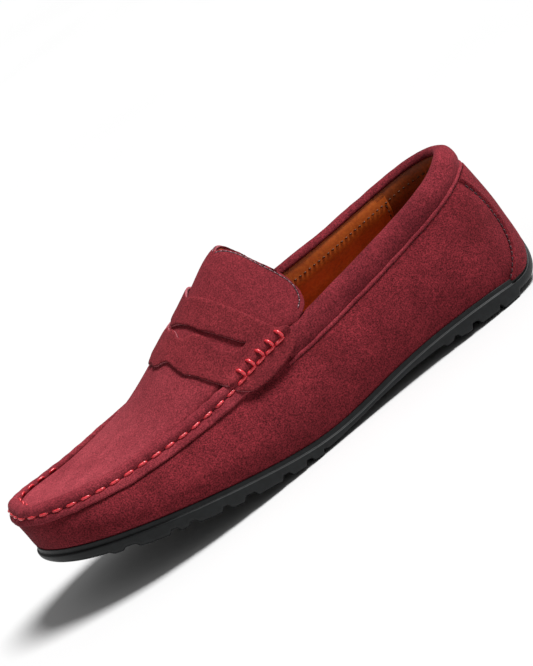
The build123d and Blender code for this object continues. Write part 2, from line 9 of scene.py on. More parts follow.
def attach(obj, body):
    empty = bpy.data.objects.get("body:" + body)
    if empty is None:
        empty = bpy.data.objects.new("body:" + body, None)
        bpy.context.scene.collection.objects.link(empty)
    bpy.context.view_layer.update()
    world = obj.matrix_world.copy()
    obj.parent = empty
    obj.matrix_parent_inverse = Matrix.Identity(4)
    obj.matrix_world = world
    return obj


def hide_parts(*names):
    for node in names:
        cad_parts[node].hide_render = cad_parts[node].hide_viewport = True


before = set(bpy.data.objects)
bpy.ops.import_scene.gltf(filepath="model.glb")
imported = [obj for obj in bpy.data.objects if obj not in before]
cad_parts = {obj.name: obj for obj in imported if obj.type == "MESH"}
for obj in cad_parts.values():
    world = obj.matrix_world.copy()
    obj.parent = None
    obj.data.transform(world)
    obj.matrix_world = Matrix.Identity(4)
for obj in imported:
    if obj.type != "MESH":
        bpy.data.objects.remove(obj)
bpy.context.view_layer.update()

# Every length below is in millimetres; mesh_object() and camera() turn them into metres.
MM = 0.001
MIDDLE_OFF = (3.05, 1.05, 0)   # brings the middle of the finished shoe onto the frame's origin

# ---- camera: above the lateral side, rolled so that the shoe climbs towards its heel ----
AZIMUTH, ELEVATION, ROLL = (math.radians(a) for a in (-11.6, 13.9, 33.8))
CAMERA_DISTANCE = 1300
CAMERA_TARGET = Vector((3.05, 1.05, 41.6))
LENS = 146.4
SHIFT = (-0.0036, 0.0404)


def make_camera():
    back = Vector((math.sin(AZIMUTH) * math.cos(ELEVATION), -math.cos(AZIMUTH) * math.cos(ELEVATION),
                   math.sin(ELEVATION)))
    right = Vector((math.cos(AZIMUTH), math.sin(AZIMUTH), 0))
    up = back.cross(right)
    x_axis = right * math.cos(ROLL) - up * math.sin(ROLL)
    y_axis = right * math.sin(ROLL) + up * math.cos(ROLL)
    turn = Matrix((x_axis, y_axis, back)).transposed().to_4x4()
    data = bpy.data.cameras.new("camera")
    data.lens = LENS
    data.shift_x, data.shift_y = SHIFT
    camera = bpy.data.objects.new("camera", data)
    camera.matrix_world = Matrix.Translation((CAMERA_TARGET + back * CAMERA_DISTANCE) * MM) @ turn
    bpy.context.scene.collection.objects.link(camera)
    bpy.context.scene.camera = camera


make_camera()


# ---- the upper, in millimetres: the same stations as the CAD model ----
# outline x, y; height of the rubber's edge; inset and height of the seam; bulge
STATIONS = np.array([
    [137, 0, 21.1, 3.8, 63.9, 0.3], [128.5, -20, 11.0, 5.4, 62.6, 1.0],
    [107, -31, 10.5, 5.4, 57.8, 2.5], [74, -34, 11.6, 4.5, 51.6, 3.5],
    [38, -37, 9.8, 3.6, 46.4, 4.0], [0, -42, 7.0, 3.8, 43.1, 4.0],
    [-38, -48, 12.2, 6.3, 43.2, 4.0], [-76, -49.5, 20.2, 6.8, 43.6, 4.0],
    [-109, -42, 27.3, 4.2, 45.4, 3.0], [-133, -24, 32.4, 0.0, 48.2, 1.0],
    [-142, 3, 34.2, -1.8, 50.2, 0.3], [-133, 28, 32.8, 2.2, 50.4, 1.0],
    [-109, 43, 27.8, 6.6, 48.8, 3.0], [-76, 48, 20.8, 8.4, 49.6, 4.0],
    [-38, 42, 12.8, 7.4, 52.6, 4.0], [0, 34, 8.0, 4.8, 57.0, 4.0],
    [38, 30, 10.2, 3.4, 57.8, 4.0], [74, 30, 11.8, 2.8, 59.9, 3.5],
    [107, 30, 10.6, 2.2, 62.2, 2.5], [128.5, 20, 11.0, 1.6, 63.3, 1.0]])
CREST = [(-142, 0), (-130, 0.0), (-105, 1.2), (-88, 4.4), (-70, 11.2), (-55, 20.4), (-38, 30.0),
         (-12, 42.8), (10, 51.2), (25, 47.5), (45, 42.6)]
BRIM = [(-142, 6.5), (-125, 5.6), (-112, 5.0), (-90, 4.4), (-72, 3.4), (-58, 1.8), (-44, 0.4), (-30, 0),
        (50, 0)]
BRIM_WIDTH = 2.4
ARCH_POWER = 0.8


def run(line):
    """Distance along a line at each of its points."""
    return np.concatenate([[0], np.cumsum(np.linalg.norm(np.diff(line, axis=0), axis=1))])


def places(where, length, line):
    """Points at distances along a line whose own points lie at length."""
    return np.column_stack([np.interp(where, length, line[:, k]) for k in range(line.shape[1])])


def closed_spline(rows):
    """Closed cubic spline through evenly spaced rows: value and slope at u in 0..1."""
    count = len(rows)
    matrix = 4 * np.eye(count) + np.roll(np.eye(count), 1, 0) + np.roll(np.eye(count), -1, 0)
    bends = np.linalg.solve(matrix, 3 * (np.roll(rows, -1, 0) - np.roll(rows, 1, 0)))

    def value(u):
        place = (np.asarray(u, float) % 1.0) * count
        i = np.floor(place).astype(int) % count
        j = (i + 1) % count
        t = (place - np.floor(place))[..., None]
        point = ((2 * t**3 - 3 * t**2 + 1) * rows[i] + (t**3 - 2 * t**2 + t) * bends[i]
                 + (3 * t**2 - 2 * t**3) * rows[j] + (t**3 - t**2) * bends[j])
        slope = (6 * (t**2 - t) * (rows[i] - rows[j]) + (3 * t**2 - 4 * t + 1) * bends[i]
                 + (3 * t**2 - 2 * t) * bends[j])
        return point, slope

    return value


def open_spline(points):
    """Open cubic spline z(x) with free ends."""
    xs, zs = np.array(points, float).T
    steps = np.diff(xs)
    count = len(xs)
    matrix = np.eye(count)
    right = np.zeros(count)
    for i in range(1, count - 1):
        matrix[i, i - 1:i + 2] = steps[i - 1], 2 * (steps[i - 1] + steps[i]), steps[i]
        right[i] = 3 * ((zs[i + 1] - zs[i]) / steps[i] - (zs[i] - zs[i - 1]) / steps[i - 1])
    bend = np.linalg.solve(matrix, right)
    slope = np.diff(zs) / steps - steps * (2 * bend[:-1] + bend[1:]) / 3
    twist = np.diff(bend) / (3 * steps)

    def value(x):
        i = np.clip(np.searchsorted(xs, x) - 1, 0, count - 2)
        t = x - xs[i]
        return zs[i] + slope[i] * t + bend[i] * t**2 + twist[i] * t**3

    return value


station = closed_spline(STATIONS)
crest_rise = open_spline(CREST)
brim = open_spline(BRIM)


def inward(u):
    slope = station(u)[1]
    length = np.hypot(slope[..., 0], slope[..., 1])
    return np.stack([slope[..., 1] / length, -slope[..., 0] / length], -1)


def in_space(u, depth, height):
    """Points a depth in from the outline at u, at a height."""
    row, normal = station(u)[0], inward(u)
    x = row[..., 0] + normal[..., 0] * depth
    y = row[..., 1] + normal[..., 1] * depth
    return np.stack([x, y, height + 0 * x], -1)


def wall_section(u, t):
    """(depth, height) on the side wall: t is 0 at the rubber's edge and 1 at the seam."""
    row = station(u)[0]
    rubber, inset, seam, belly = (row[..., k] for k in (2, 3, 4, 5))
    share = np.clip(t, 0, None)
    depth = inset * share**1.6 - belly * 4 * share * (1 - np.clip(share, 0, 1))
    return depth, rubber + (seam - rubber) * t


def wall(u, t, lift=0.0):
    depth, height = wall_section(u, t)
    return in_space(u, depth - lift, height)


def seam_table(first, last):
    u = np.linspace(first, last, 400)
    return np.column_stack([wall(u, np.ones(400)), u])


LATERAL = seam_table(0.5, 0.1)
MEDIAL = seam_table(0.5, 0.9)


def instep(x, y):
    """Height of the apron and tongue surface."""
    y_lateral, z_lateral = (np.interp(x, LATERAL[:, 0], LATERAL[:, k]) for k in (1, 2))
    y_medial, z_medial = (np.interp(x, MEDIAL[:, 0], MEDIAL[:, k]) for k in (1, 2))
    share = np.clip((y - y_lateral) / np.maximum(y_medial - y_lateral, 0.01), 0, 1)
    rise = crest_rise(x) * (4 * share * (1 - share)) ** ARCH_POWER
    edge = np.minimum(y - y_lateral, y_medial - y)
    edge = np.minimum(edge, x - LATERAL[0, 0])
    rise = rise + brim(x) * (1 - np.exp(-np.clip(edge, 0, None) / BRIM_WIDTH))
    return z_lateral * (1 - share) + z_medial * share + rise


BROW = np.arange(-9, 30, 0.25)      # distances from the seam along the brow paths


def smooth(values, width):
    """Moving average down the last axis but one, ends held."""
    half = width // 2
    padded = np.concatenate([np.repeat(values[..., :1, :], half, -2), values,
                             np.repeat(values[..., -1:, :], half, -2)], -2)
    total = np.cumsum(np.concatenate([padded[..., :1, :] * 0, padded], -2), -2)
    return (total[..., 2 * half + 1:, :] - total[..., :-(2 * half + 1), :]) / (2 * half + 1)


def brow_paths(u):
    """For each u, the surface's section (depth, height) from the wall over the seam and
    in across the instep, at the distances BROW from the seam."""
    row = station(u)[0]
    down = np.linspace(11, 0.4, 24)
    share = 1 - down[None] / (row[:, 4] - row[:, 2])[:, None]
    lower = np.stack(wall_section(u[:, None], share), -1)
    top = np.stack(wall_section(u, np.ones_like(u)), -1)[:, None]
    reach = np.linspace(0, 1, 90)**2 * 34
    depth = top[..., 0] + reach[None, 1:]
    plan = in_space(u[:, None], depth, 0 * depth)
    upper = np.stack([depth, instep(plan[..., 0], plan[..., 1])], -1)
    path = np.concatenate([lower, top, upper], 1)
    steps = np.hypot(*np.moveaxis(np.diff(path, axis=1), -1, 0))
    length = np.concatenate([0 * steps[:, :1], np.cumsum(steps, 1)], 1)
    length -= length[:, 24:25]
    even = np.array([[np.interp(BROW, s, p[:, k]) for k in (0, 1)] for s, p in zip(length, path)])
    return smooth(np.moveaxis(even, 1, -1), 9)


def on_brow(u, paths, distance, lift):
    """Points at distances from the seam along brow paths, lifted off the surface."""
    distance, lift = np.broadcast_arrays(distance, lift)
    if distance.ndim == 1:
        distance, lift = (np.repeat(v[None], len(u), 0) for v in (distance, lift))
    points = []
    for k in range(len(u)):
        depth, height = (np.interp(distance[k], BROW, paths[k][:, i]) for i in (0, 1))
        ahead, behind = ([np.interp(distance[k] + e, BROW, paths[k][:, i]) for i in (0, 1)]
                         for e in (0.6, -0.6))
        run, climb = ahead[0] - behind[0], ahead[1] - behind[1]
        size = np.hypot(run, climb)
        points.append(in_space(np.full(distance.shape[1], u[k]), depth - climb / size * lift[k],
                               height + run / size * lift[k]))
    return np.array(points)


def section(x):
    """The shoe's section at x, from low on the lateral wall over the instep to low on the
    medial wall: even points (y, z) and their distance from the lateral seam."""
    ends = []
    for table in (LATERAL, MEDIAL):
        u = np.full(20, np.interp(x, table[:, 0], table[:, 3]))
        ends.append(wall(u, np.linspace(0.3, 0.99, 20))[:, 1:])
    y_lateral, y_medial = (np.interp(x, table[:, 0], table[:, 1]) for table in (LATERAL, MEDIAL))
    y = y_lateral + (y_medial - y_lateral) * (1 - np.cos(np.linspace(0, math.pi, 200))) / 2
    path = np.concatenate([ends[0], np.column_stack([y, instep(np.full(200, float(x)), y)]), ends[1][::-1]])
    length = run(path)
    zero, whole = length[20], length[219] - length[20]
    even = np.arange(-14, whole + 14, 0.25)
    points = places(even, length - zero, path)
    return smooth(points, 9), even, whole


# ================= mesh helpers =================
def normals_of(points):
    """Unit normals of a grid of points; rows run round the shoe, columns run up and in."""
    along, up = np.gradient(points, axis=0), np.gradient(points, axis=1)
    normal = np.cross(up, along)
    return normal / np.maximum(np.linalg.norm(normal, axis=-1, keepdims=True), 1e-9)


def grid_faces(rows, columns, closed=False, flip=False):
    index = np.arange(rows * columns).reshape(rows, columns)
    if closed:
        index = np.vstack([index, index[:1]])
    quads = [index[:-1, :-1], index[:-1, 1:], index[1:, 1:], index[1:, :-1]]
    quads = np.stack(quads[::-1] if flip else quads, -1)
    return quads.reshape(-1, 4).tolist()


def wobble(points, size, amount, seed=0.0):
    """Smooth uneven value at each point: hollows and swellings of a size in millimetres."""
    flat = points.reshape(-1, 3) / size + seed
    values = np.array([noise.noise(p) for p in flat.tolist()]) * amount
    return values.reshape(points.shape[:-1])


def mesh_object(name, points, faces, material, slot, *nodes, weld=0.0, thick=0.0):
    """A piece of the shoe from points in millimetres; it stands for the CAD nodes named."""
    mesh = bpy.data.meshes.new(name)
    mesh.from_pydata(((np.asarray(points).reshape(-1, 3) + MIDDLE_OFF) * MM).tolist(), [], faces)
    mesh.shade_smooth()
    for each in material if isinstance(material, list) else [material]:
        mesh.materials.append(each)
    piece = bpy.data.objects.new(name, mesh)
    bpy.context.scene.collection.objects.link(piece)
    if weld:
        joined = piece.modifiers.new("weld", "WELD")
        joined.merge_threshold = weld * MM
    if thick:
        shell = piece.modifiers.new("thickness", "SOLIDIFY")
        shell.thickness = thick * MM
        shell.offset = -1
        if isinstance(material, list):
            shell.material_offset_rim = 1
    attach(piece, "root")
    if nodes:
        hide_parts(*nodes)
    return piece


def curve_through(points, count, closed=False):
    """Even points on a smooth (Catmull-Rom) curve through points of any dimension."""
    points = np.asarray(points, float)
    if closed:
        padded = np.vstack([points[-1:], points, points[:2]])
    else:
        padded = np.vstack([2 * points[0] - points[1], points, 2 * points[-1] - points[-2]])
    t = np.linspace(0, 1, 24, endpoint=False)[:, None]
    spans = []
    for a, b, c, d in zip(padded, padded[1:], padded[2:], padded[3:]):
        spans.append(0.5 * (2 * b + (c - a) * t + (2 * a - 5 * b + 4 * c - d) * t**2
                            + (3 * b - 3 * c + d - a) * t**3))
    fine = np.vstack(spans + [padded[-2:-1]])
    length = run(fine)
    return places(np.linspace(0, length[-1], count, endpoint=not closed), length, fine)


def ease(value, first, last):
    """0 below first, 1 above last, smooth between."""
    share = np.clip((value - first) / (last - first), 0, 1)
    return share * share * (3 - 2 * share)


def tube(points, radius, sides=8, twist=0.0, groove=0.0):
    """Points and faces of a tube along a line; a groove and twist make it a two-ply thread."""
    points = np.asarray(points, float)
    radius = np.broadcast_to(radius, len(points))
    tangent = np.gradient(points, axis=0)
    tangent /= np.linalg.norm(tangent, axis=1, keepdims=True)
    guide = np.cross(tangent, [0.31, 0.17, 0.93])
    guide /= np.linalg.norm(guide, axis=1, keepdims=True)
    side = np.cross(tangent, guide)
    length = run(points)
    angle = np.linspace(0, 2 * math.pi, sides, endpoint=False)
    ripple = 1 + groove * (np.abs(np.cos(angle[None] - twist * length[:, None])) - 0.6)
    ring = (guide[:, None] * np.cos(angle)[None, :, None] + side[:, None] * np.sin(angle)[None, :, None])
    skin = points[:, None] + ring * (radius[:, None] * ripple)[..., None]
    faces = []
    for i in range(len(points) - 1):
        for j in range(sides):
            k = (j + 1) % sides
            faces.append((i * sides + j, i * sides + k, (i + 1) * sides + k, (i + 1) * sides + j))
    faces += [tuple(range(sides))[::-1], tuple(range((len(points) - 1) * sides, len(points) * sides))]
    return skin.reshape(-1, 3), faces


def sewn(name, parts, finish, slot, *nodes):
    """Threads, each given as points and faces, as one piece."""
    points, faces, start = [], [], 0
    for more, polygons in parts:
        points.append(more)
        faces += [tuple(i + start for i in polygon) for polygon in polygons]
        start += len(more)
    mesh_object(name, np.vstack(points), faces, finish, slot, *nodes)


MACHINE_TWIST = 3.0         # of the thin threads, in radians per millimetre
PLY_GROOVE = 0.22           # depth of the groove between a thread's plies, as a share of its radius


def stitches(line, normal, pitch, length, radius, crown, start=0.0, twist=1.6, sides=8):
    """Separate stitches along a line on a surface: each comes up, arches over and goes down."""
    distance = run(line)
    parts = []
    share = np.linspace(0, 1, 11)
    for k in range(int((distance[-1] - start) / pitch)):
        along = start + k * pitch + share * length
        at, up = places(along, distance, line), places(along, distance, normal)
        rise = crown * (1 - np.abs(2 * share - 1) ** 3) - radius * 1.4 * np.abs(2 * share - 1) ** 6
        size = radius * (1 - 0.35 * np.abs(2 * share - 1) ** 4)
        parts.append(tube(at + up * rise[:, None], size, sides, twist, PLY_GROOVE))
    return parts


# ================= materials =================
def linear(*rgb):
    return tuple((c / 255 / 12.92 if c <= 10.3 else ((c / 255 + 0.055) / 1.055) ** 2.4) for c in rgb) + (1,)


class Shader:
    """A node material on object coordinates, which are metres on the shoe."""

    def __init__(self, name, **sockets):
        self.material = bpy.data.materials.new(name)
        self.material.use_nodes = True
        self.tree = self.material.node_tree
        self.surface = self.tree.nodes["Principled BSDF"]
        for socket, value in sockets.items():
            self.surface.inputs[socket.replace("_", " ")].default_value = value
        self.place = self.node("ShaderNodeTexCoord").outputs["Object"]

    def node(self, kind, **values):
        made = self.tree.nodes.new(kind)
        for key, value in values.items():
            setattr(made, key, value)
        return made

    def link(self, output, target):
        self.tree.links.new(output, target)

    def noise(self, per_metre, detail=3.0, rough=0.55):
        made = self.node("ShaderNodeTexNoise")
        made.inputs["Scale"].default_value = per_metre
        made.inputs["Detail"].default_value = detail
        made.inputs["Roughness"].default_value = rough
        self.link(self.place, made.inputs["Vector"])
        return made.outputs["Fac"]

    def cells(self, per_metre):
        made = self.node("ShaderNodeTexVoronoi")
        made.inputs["Scale"].default_value = per_metre
        self.link(self.place, made.inputs["Vector"])
        return made.outputs["Distance"]

    def ramp(self, value, *stops):
        made = self.node("ShaderNodeValToRGB")
        ramp = made.color_ramp
        while len(ramp.elements) < len(stops):
            ramp.elements.new(0.5)
        for element, (position, colour) in zip(ramp.elements, stops):
            element.position = position
            element.color = colour
        self.link(value, made.inputs["Fac"])
        return made.outputs["Color"]

    def mix(self, share, first, second, blend="MIX"):
        made = self.node("ShaderNodeMix", data_type="RGBA", blend_type=blend)
        for source, target in ((share, made.inputs[0]), (first, made.inputs[6]), (second, made.inputs[7])):
            if isinstance(source, (int, float, tuple)):
                target.default_value = source
            else:
                self.link(source, target)
        return made.outputs[2]

    def colour(self, output):
        self.link(output, self.surface.inputs["Base Color"])

    def rough(self, value, low, high):
        made = self.node("ShaderNodeMapRange")
        made.inputs["To Min"].default_value = low
        made.inputs["To Max"].default_value = high
        self.link(value, made.inputs["Value"])
        self.link(made.outputs["Result"], self.surface.inputs["Roughness"])

    def bump(self, *layers):
        """Each layer is (height output, strength, depth in millimetres)."""
        normal = None
        for height, strength, depth in layers:
            made = self.node("ShaderNodeBump")
            made.inputs["Strength"].default_value = strength
            made.inputs["Distance"].default_value = depth * MM
            self.link(height, made.inputs["Height"])
            if normal:
                self.link(normal, made.inputs["Normal"])
            normal = made.outputs["Normal"]
        self.link(normal, self.surface.inputs["Normal"])


def suede(name, dark, middle, light, speckle, fade=None):
    """Short-napped suede: broad shading where the nap lies over, and a fine fibre speckle.

    fade is (x from, x to, colour): the suede is blended to that colour towards the second x, a painted shade.
    """
    made = Shader(name, Roughness=0.95, Sheen_Weight=0.1, Sheen_Roughness=0.4,
                  Sheen_Tint=linear(206, 110, 122), Specular_IOR_Level=0.1)
    colour = made.ramp(made.noise(46, 3), (0.36, dark), (0.5, middle), (0.66, light))
    # painted shade: the colour darkens towards the second x, where the surface turns away from the key light
    if fade:
        apart = made.node("ShaderNodeSeparateXYZ")
        made.link(made.place, apart.inputs[0])
        share = made.node("ShaderNodeMapRange", interpolation_type="SMOOTHSTEP")
        share.inputs["From Min"].default_value = fade[0] * MM
        share.inputs["From Max"].default_value = fade[1] * MM
        made.link(apart.outputs["X"], share.inputs["Value"])
        colour = made.mix(share.outputs["Result"], colour, fade[2])
    patch = made.ramp(made.noise(260, 4, 0.7), (0.35, linear(168, 168, 168)), (0.65, linear(206, 206, 206)))
    fibre = made.ramp(made.noise(1500, 3, 0.75), (0.38, linear(92, 84, 84)), (0.5, linear(184, 182, 182)),
                      (0.64, linear(255, 246, 246)))
    colour = made.mix(0.5, colour, patch, "OVERLAY")
    made.colour(made.mix(speckle, colour, fibre, "OVERLAY"))
    made.bump((made.noise(600, 3, 0.6), 0.3, 0.25), (made.noise(2200, 2, 0.6), 0.5, 0.14))
    return made.material


def leather(name, dark, middle, light, roughness):
    """Smooth lining leather with pores and faint creases."""
    made = Shader(name, Roughness=roughness, Specular_IOR_Level=0.42, Coat_Weight=0.06, Coat_Roughness=0.4)
    hide = made.ramp(made.noise(45, 4, 0.6), (0.3, dark), (0.52, middle), (0.75, light))
    grain = made.ramp(made.noise(700, 3), (0.4, linear(120, 112, 104)), (0.6, linear(200, 196, 190)))
    made.colour(made.mix(0.35, hide, grain, "OVERLAY"))
    made.rough(made.noise(160), roughness - 0.08, roughness + 0.12)
    made.bump((made.noise(75, 3), 0.3, 0.6), (made.cells(1500), 0.25, 0.12))
    return made.material


def plain(name, dark, light, per_metre, roughness, depth, **sockets):
    """A mottled finish with a fine grain."""
    made = Shader(name, Roughness=roughness, **sockets)
    made.colour(made.ramp(made.noise(per_metre, 4, 0.6), (0.35, dark), (0.65, light)))
    made.bump((made.noise(per_metre * 6, 3), 0.4, depth))
    return made.material


def thread(name, dark, light, roughness, shine):
    """Waxed thread: a mottled colour with a fine bump and a thin coat."""
    made = Shader(name, Roughness=roughness, Specular_IOR_Level=shine, Coat_Weight=shine * 0.5,
                  Coat_Roughness=0.25)
    made.colour(made.ramp(made.noise(1400, 3, 0.6), (0.32, dark), (0.62, light)))
    made.bump((made.noise(2600, 2), 0.35, 0.08))
    return made.material


WALL_SUEDE = suede("suede_wall", linear(92, 26, 32), linear(101, 30, 37), linear(110, 34, 41), 0.8)
# the apron's fade is painted shade: darker towards the tongue, which faces away from the key light
APRON_SUEDE = suede("suede_apron", linear(124, 45, 53), linear(132, 50, 58), linear(140, 55, 63), 0.55,
                    fade=(-90, 0, linear(114, 38, 45)))
RIDGE_SUEDE = suede("suede_ridge", linear(112, 37, 45), linear(120, 42, 50), linear(128, 47, 55), 0.6)
STRAP_SUEDE = suede("suede_strap", linear(101, 32, 38), linear(108, 35, 41), linear(116, 39, 45), 0.65)
COLLAR_SUEDE = suede("suede_collar", linear(96, 30, 37), linear(105, 34, 41), linear(116, 39, 47), 0.75)
# raw cut edges of the suede: a lighter colour that such edges have, made lighter still as a painted highlight
# along the edges
CUT_EDGE_AND_HIGHLIGHT = plain("suede_cut_edge_and_painted_highlight", linear(120, 50, 58), linear(186, 104, 112), 900, 0.95, 0.3)
TAN = leather("tan_leather", linear(186, 88, 26), linear(206, 102, 34), linear(222, 116, 44), 0.5)
BROWN = leather("brown_leather", linear(138, 62, 22), linear(158, 74, 28), linear(176, 88, 36), 0.5)
SOCK = leather("sock_leather", linear(150, 76, 26), linear(170, 92, 36), linear(186, 106, 46), 0.55)
RUBBER = plain("rubber", linear(12, 14, 15), linear(20, 23, 24), 260, 0.5, 0.1, Specular_IOR_Level=0.26)
RED_THREAD = thread("waxed_thread", linear(170, 20, 32), linear(224, 58, 68), 0.34, 0.55)
# dark thread of the piping and heel overlay stitches; the tongue's needle holes use the same finish as painted
# shade
DARK_THREAD_AND_HOLE_SHADE = thread("dark_thread", linear(28, 10, 14), linear(70, 30, 38), 0.45, 0.4)
LINING_THREAD = thread("lining_thread", linear(52, 24, 8), linear(92, 44, 14), 0.5, 0.3)
PALE_THREAD = thread("pale_thread", linear(60, 30, 38), linear(160, 118, 126), 0.4, 0.4)
FOAM = plain("foam", linear(196, 186, 160), linear(216, 206, 184), 800, 0.9, 0.4)
BOARD = plain("board", linear(150, 128, 96), linear(172, 150, 118), 300, 0.85, 0.2)
STIFFENER = plain("stiffener", linear(196, 188, 172), linear(214, 206, 190), 500, 0.8, 0.15)
INTERLINING = plain("interlining", linear(200, 196, 184), linear(222, 218, 208), 900, 0.9, 0.15)


# ================= side wall =================
TOE = 0.5                   # u at the toe's tip
SEAM_START = 0.2455         # the moccasin seam runs from here round the toe to 1 - here
SUEDE_THICK = 1.5


def even_places(first, last, count, height=0.0):
    """Values of u spaced evenly along the outline."""
    fine = np.linspace(first, last, 4000)
    line = wall(fine, np.full(4000, height))
    length = run(line[:, :2])
    return np.interp(np.linspace(0, length[-1], count), length, fine)


WALL_ROUND, WALL_UP = 900, 44
TURN_IN = np.array([0.8, 1.8, 3.2, 5.0, 7.0])   # distances the suede goes on beyond the seam
CUP_PINCH = 0.7             # the suede is pulled in by this where it goes into the rubber cup


def side_wall():
    u = even_places(0, 1, WALL_ROUND + 1)[:-1]
    t = np.concatenate([[-0.1, -0.05], np.linspace(0, 1, WALL_UP)])
    depth, height = wall_section(u[:, None], t[None])
    points = in_space(np.repeat(u[:, None], len(t), 1), depth, height)
    # above the seam line the suede turns in, under the flange or under the collar
    row = station(u)[0]
    turned = in_space(np.repeat(u[:, None], len(TURN_IN), 1), row[:, 3:4] + 0.5 * TURN_IN,
                      row[:, 4:5] + 0.35 * TURN_IN)
    before = SEAM_START - 0.0095
    seamed = (u > before) & (u < 1 - before)
    under = on_brow(u[seamed], brow_paths(u[seamed]), TURN_IN[None],
                    np.zeros((int(seamed.sum()), len(TURN_IN))))
    share = (ease(u, before, SEAM_START) * (1 - ease(u, 1 - SEAM_START, 1 - before)))[seamed, None, None]
    turned[seamed] = turned[seamed] * (1 - share) + under * share
    points = np.concatenate([points, turned], 1)
    normal = normals_of(np.concatenate([points[-2:], points, points[:2]]))[2:-2]
    fade = np.concatenate([np.sin(np.clip(t, 0, 1) * math.pi) ** 0.5, np.zeros(len(TURN_IN))])
    lift = (wobble(points, 22, 0.5) + wobble(points, 7, 0.14, 5)) * fade
    lift[:, :len(t)] -= CUP_PINCH * np.exp(-(t / 0.05) ** 2)
    points = points + normal * lift[..., None]
    mesh_object("side_wall", points, grid_faces(*points.shape[:2], closed=True), WALL_SUEDE, "suede",
                "wall_upper", thick=SUEDE_THICK)


side_wall()

# ================= moccasin seam =================
# by x: distance from the seam to the cut edge, and to the stitches; the ridge's width, height
EDGE_AT = [(-143, 0.4), (-110, -0.3), (-95, -1.0), (-75, -0.6), (-55, 0.0), (-37, 1.0), (-28, 2.0), (8, 4)]
GROOVE_AT = [(-143, 4.2), (-126, 3.5), (-100, 3.7), (-86, 4.2), (-58, 4.3), (-42, 5.5), (-31, 6.8),
             (-21, 8.8), (-9, 11.0), (-1, 11.8), (8, 12.3)]
RIDGE_WIDTH = [(-143, 6.4), (-112, 6.2), (-72, 5.6), (-40, 5.2), (0, 4.6)]
RIDGE_HEIGHT = [(-143, 3.0), (-128, 3.6), (-112, 4.0), (-90, 3.8), (-60, 3.4), (-38, 3.1), (-30, 2.2),
                (8, 2.0)]
MEDIAL_LOWER = 0.62         # the medial ridge is this much of the lateral one's height
PITCH = 7.6                 # of the hand stitches
STITCH = 5.3
TAB_FRONT = -28.5           # the running stitches go under the strap's tabs here
RIDGE_ROWS, RIDGE_COLUMNS = 1000, 46
INNER_LATERAL, INNER_MEDIAL = -118, -104    # behind these the inner row lies deep in the crease


def by_x(table, x):
    return np.interp(x, *np.array(table, float).T)


def ridge():
    u = even_places(SEAM_START, 1 - SEAM_START, RIDGE_ROWS, 1.0)
    paths = brow_paths(u)
    top = wall(u, np.ones_like(u))
    x = top[:, 0]
    edge, groove, width, height = (by_x(t, x) for t in (EDGE_AT, GROOVE_AT, RIDGE_WIDTH, RIDGE_HEIGHT))
    height = height * (1 - (1 - MEDIAL_LOWER) * ease(u, 0.49, 0.56))
    along = run(top)
    beat = np.cos(2 * math.pi * (along - STITCH / 2) / PITCH)     # 1 in the middle of a stitch
    uneven = wobble(top, 9, 0.35) + wobble(top, 3.2, 0.2, 3)
    edge = edge + uneven
    width = width * (1 + 0.04 * beat)
    height = height * (1 - 0.03 * beat) + wobble(top, 12, 0.3, 9)
    dip = 0.25 * (beat < -0.6)
    rows = []
    for e, g, w, h, low in zip(edge, groove, width, height, dip):
        # the flange's cut edge, the groove with the stitches, then the ridge: (in from the seam, lift)
        rows.append(curve_through(
            [(e + 1.6, 0.0), (e + 0.2, 0.15), (e - 0.3, 0.7), (e + 0.05, 1.3), (e + 1.0, 1.5),
             ((e + g) / 2 + 0.4, 1.35), (g - 0.8, 1.05), (g, 0.5 - low), (g + 0.1, 0.3 * h + 0.5),
             (g + 0.1 * w, 0.68 * h), (g + 0.28 * w, 0.94 * h), (g + 0.5 * w, h), (g + 0.72 * w, 0.92 * h),
             (g + 0.9 * w, 0.62 * h), (g + 0.98 * w, 0.25 * h), (g + 0.96 * w, -0.4), (g + 0.9 * w, -1.0)],
            RIDGE_COLUMNS))
    rows = np.array(rows)
    points = on_brow(u, paths, rows[..., 0], rows[..., 1])
    mesh_object("moccasin_ridge", points, grid_faces(*points.shape[:2]), RIDGE_SUEDE, "suede", "wall_upper")
    outer = on_brow(u, paths, groove[:, None], np.full((len(u), 1), 0.95))[:, 0]
    inner_lift = np.full((len(u), 1), 0.9)
    inner = on_brow(u, paths, (groove + width)[:, None], inner_lift)[:, 0]
    normal = on_brow(u, paths, groove[:, None] - 0.6, np.full((len(u), 1), 2.0))[:, 0] - outer
    normal /= np.linalg.norm(normal, axis=1, keepdims=True)
    inward_normal = on_brow(u, paths, (groove + width)[:, None] + 0.8, inner_lift + 1.2)[:, 0] - inner
    inward_normal /= np.linalg.norm(inward_normal, axis=1, keepdims=True)
    # the hand stitches show from under one tab of the strap to under the other
    shown = x < TAB_FRONT
    first = int(np.argmax(shown))
    last = len(shown) - int(np.argmax(shown[::-1]))
    outer_row = stitches(outer[first:last], normal[first:last], PITCH, STITCH, 0.75, 0.5)
    in_sight = np.nonzero(x < np.where(u < TOE, INNER_LATERAL, INNER_MEDIAL))[0]
    inner_row = stitches(inner[in_sight], inward_normal[in_sight], PITCH, STITCH * 0.8, 0.55, 0.35, start=0.8)
    sewn("moccasin_stitches", outer_row + inner_row, RED_THREAD, "waxed_thread", "moc_seam_thread")


ridge()

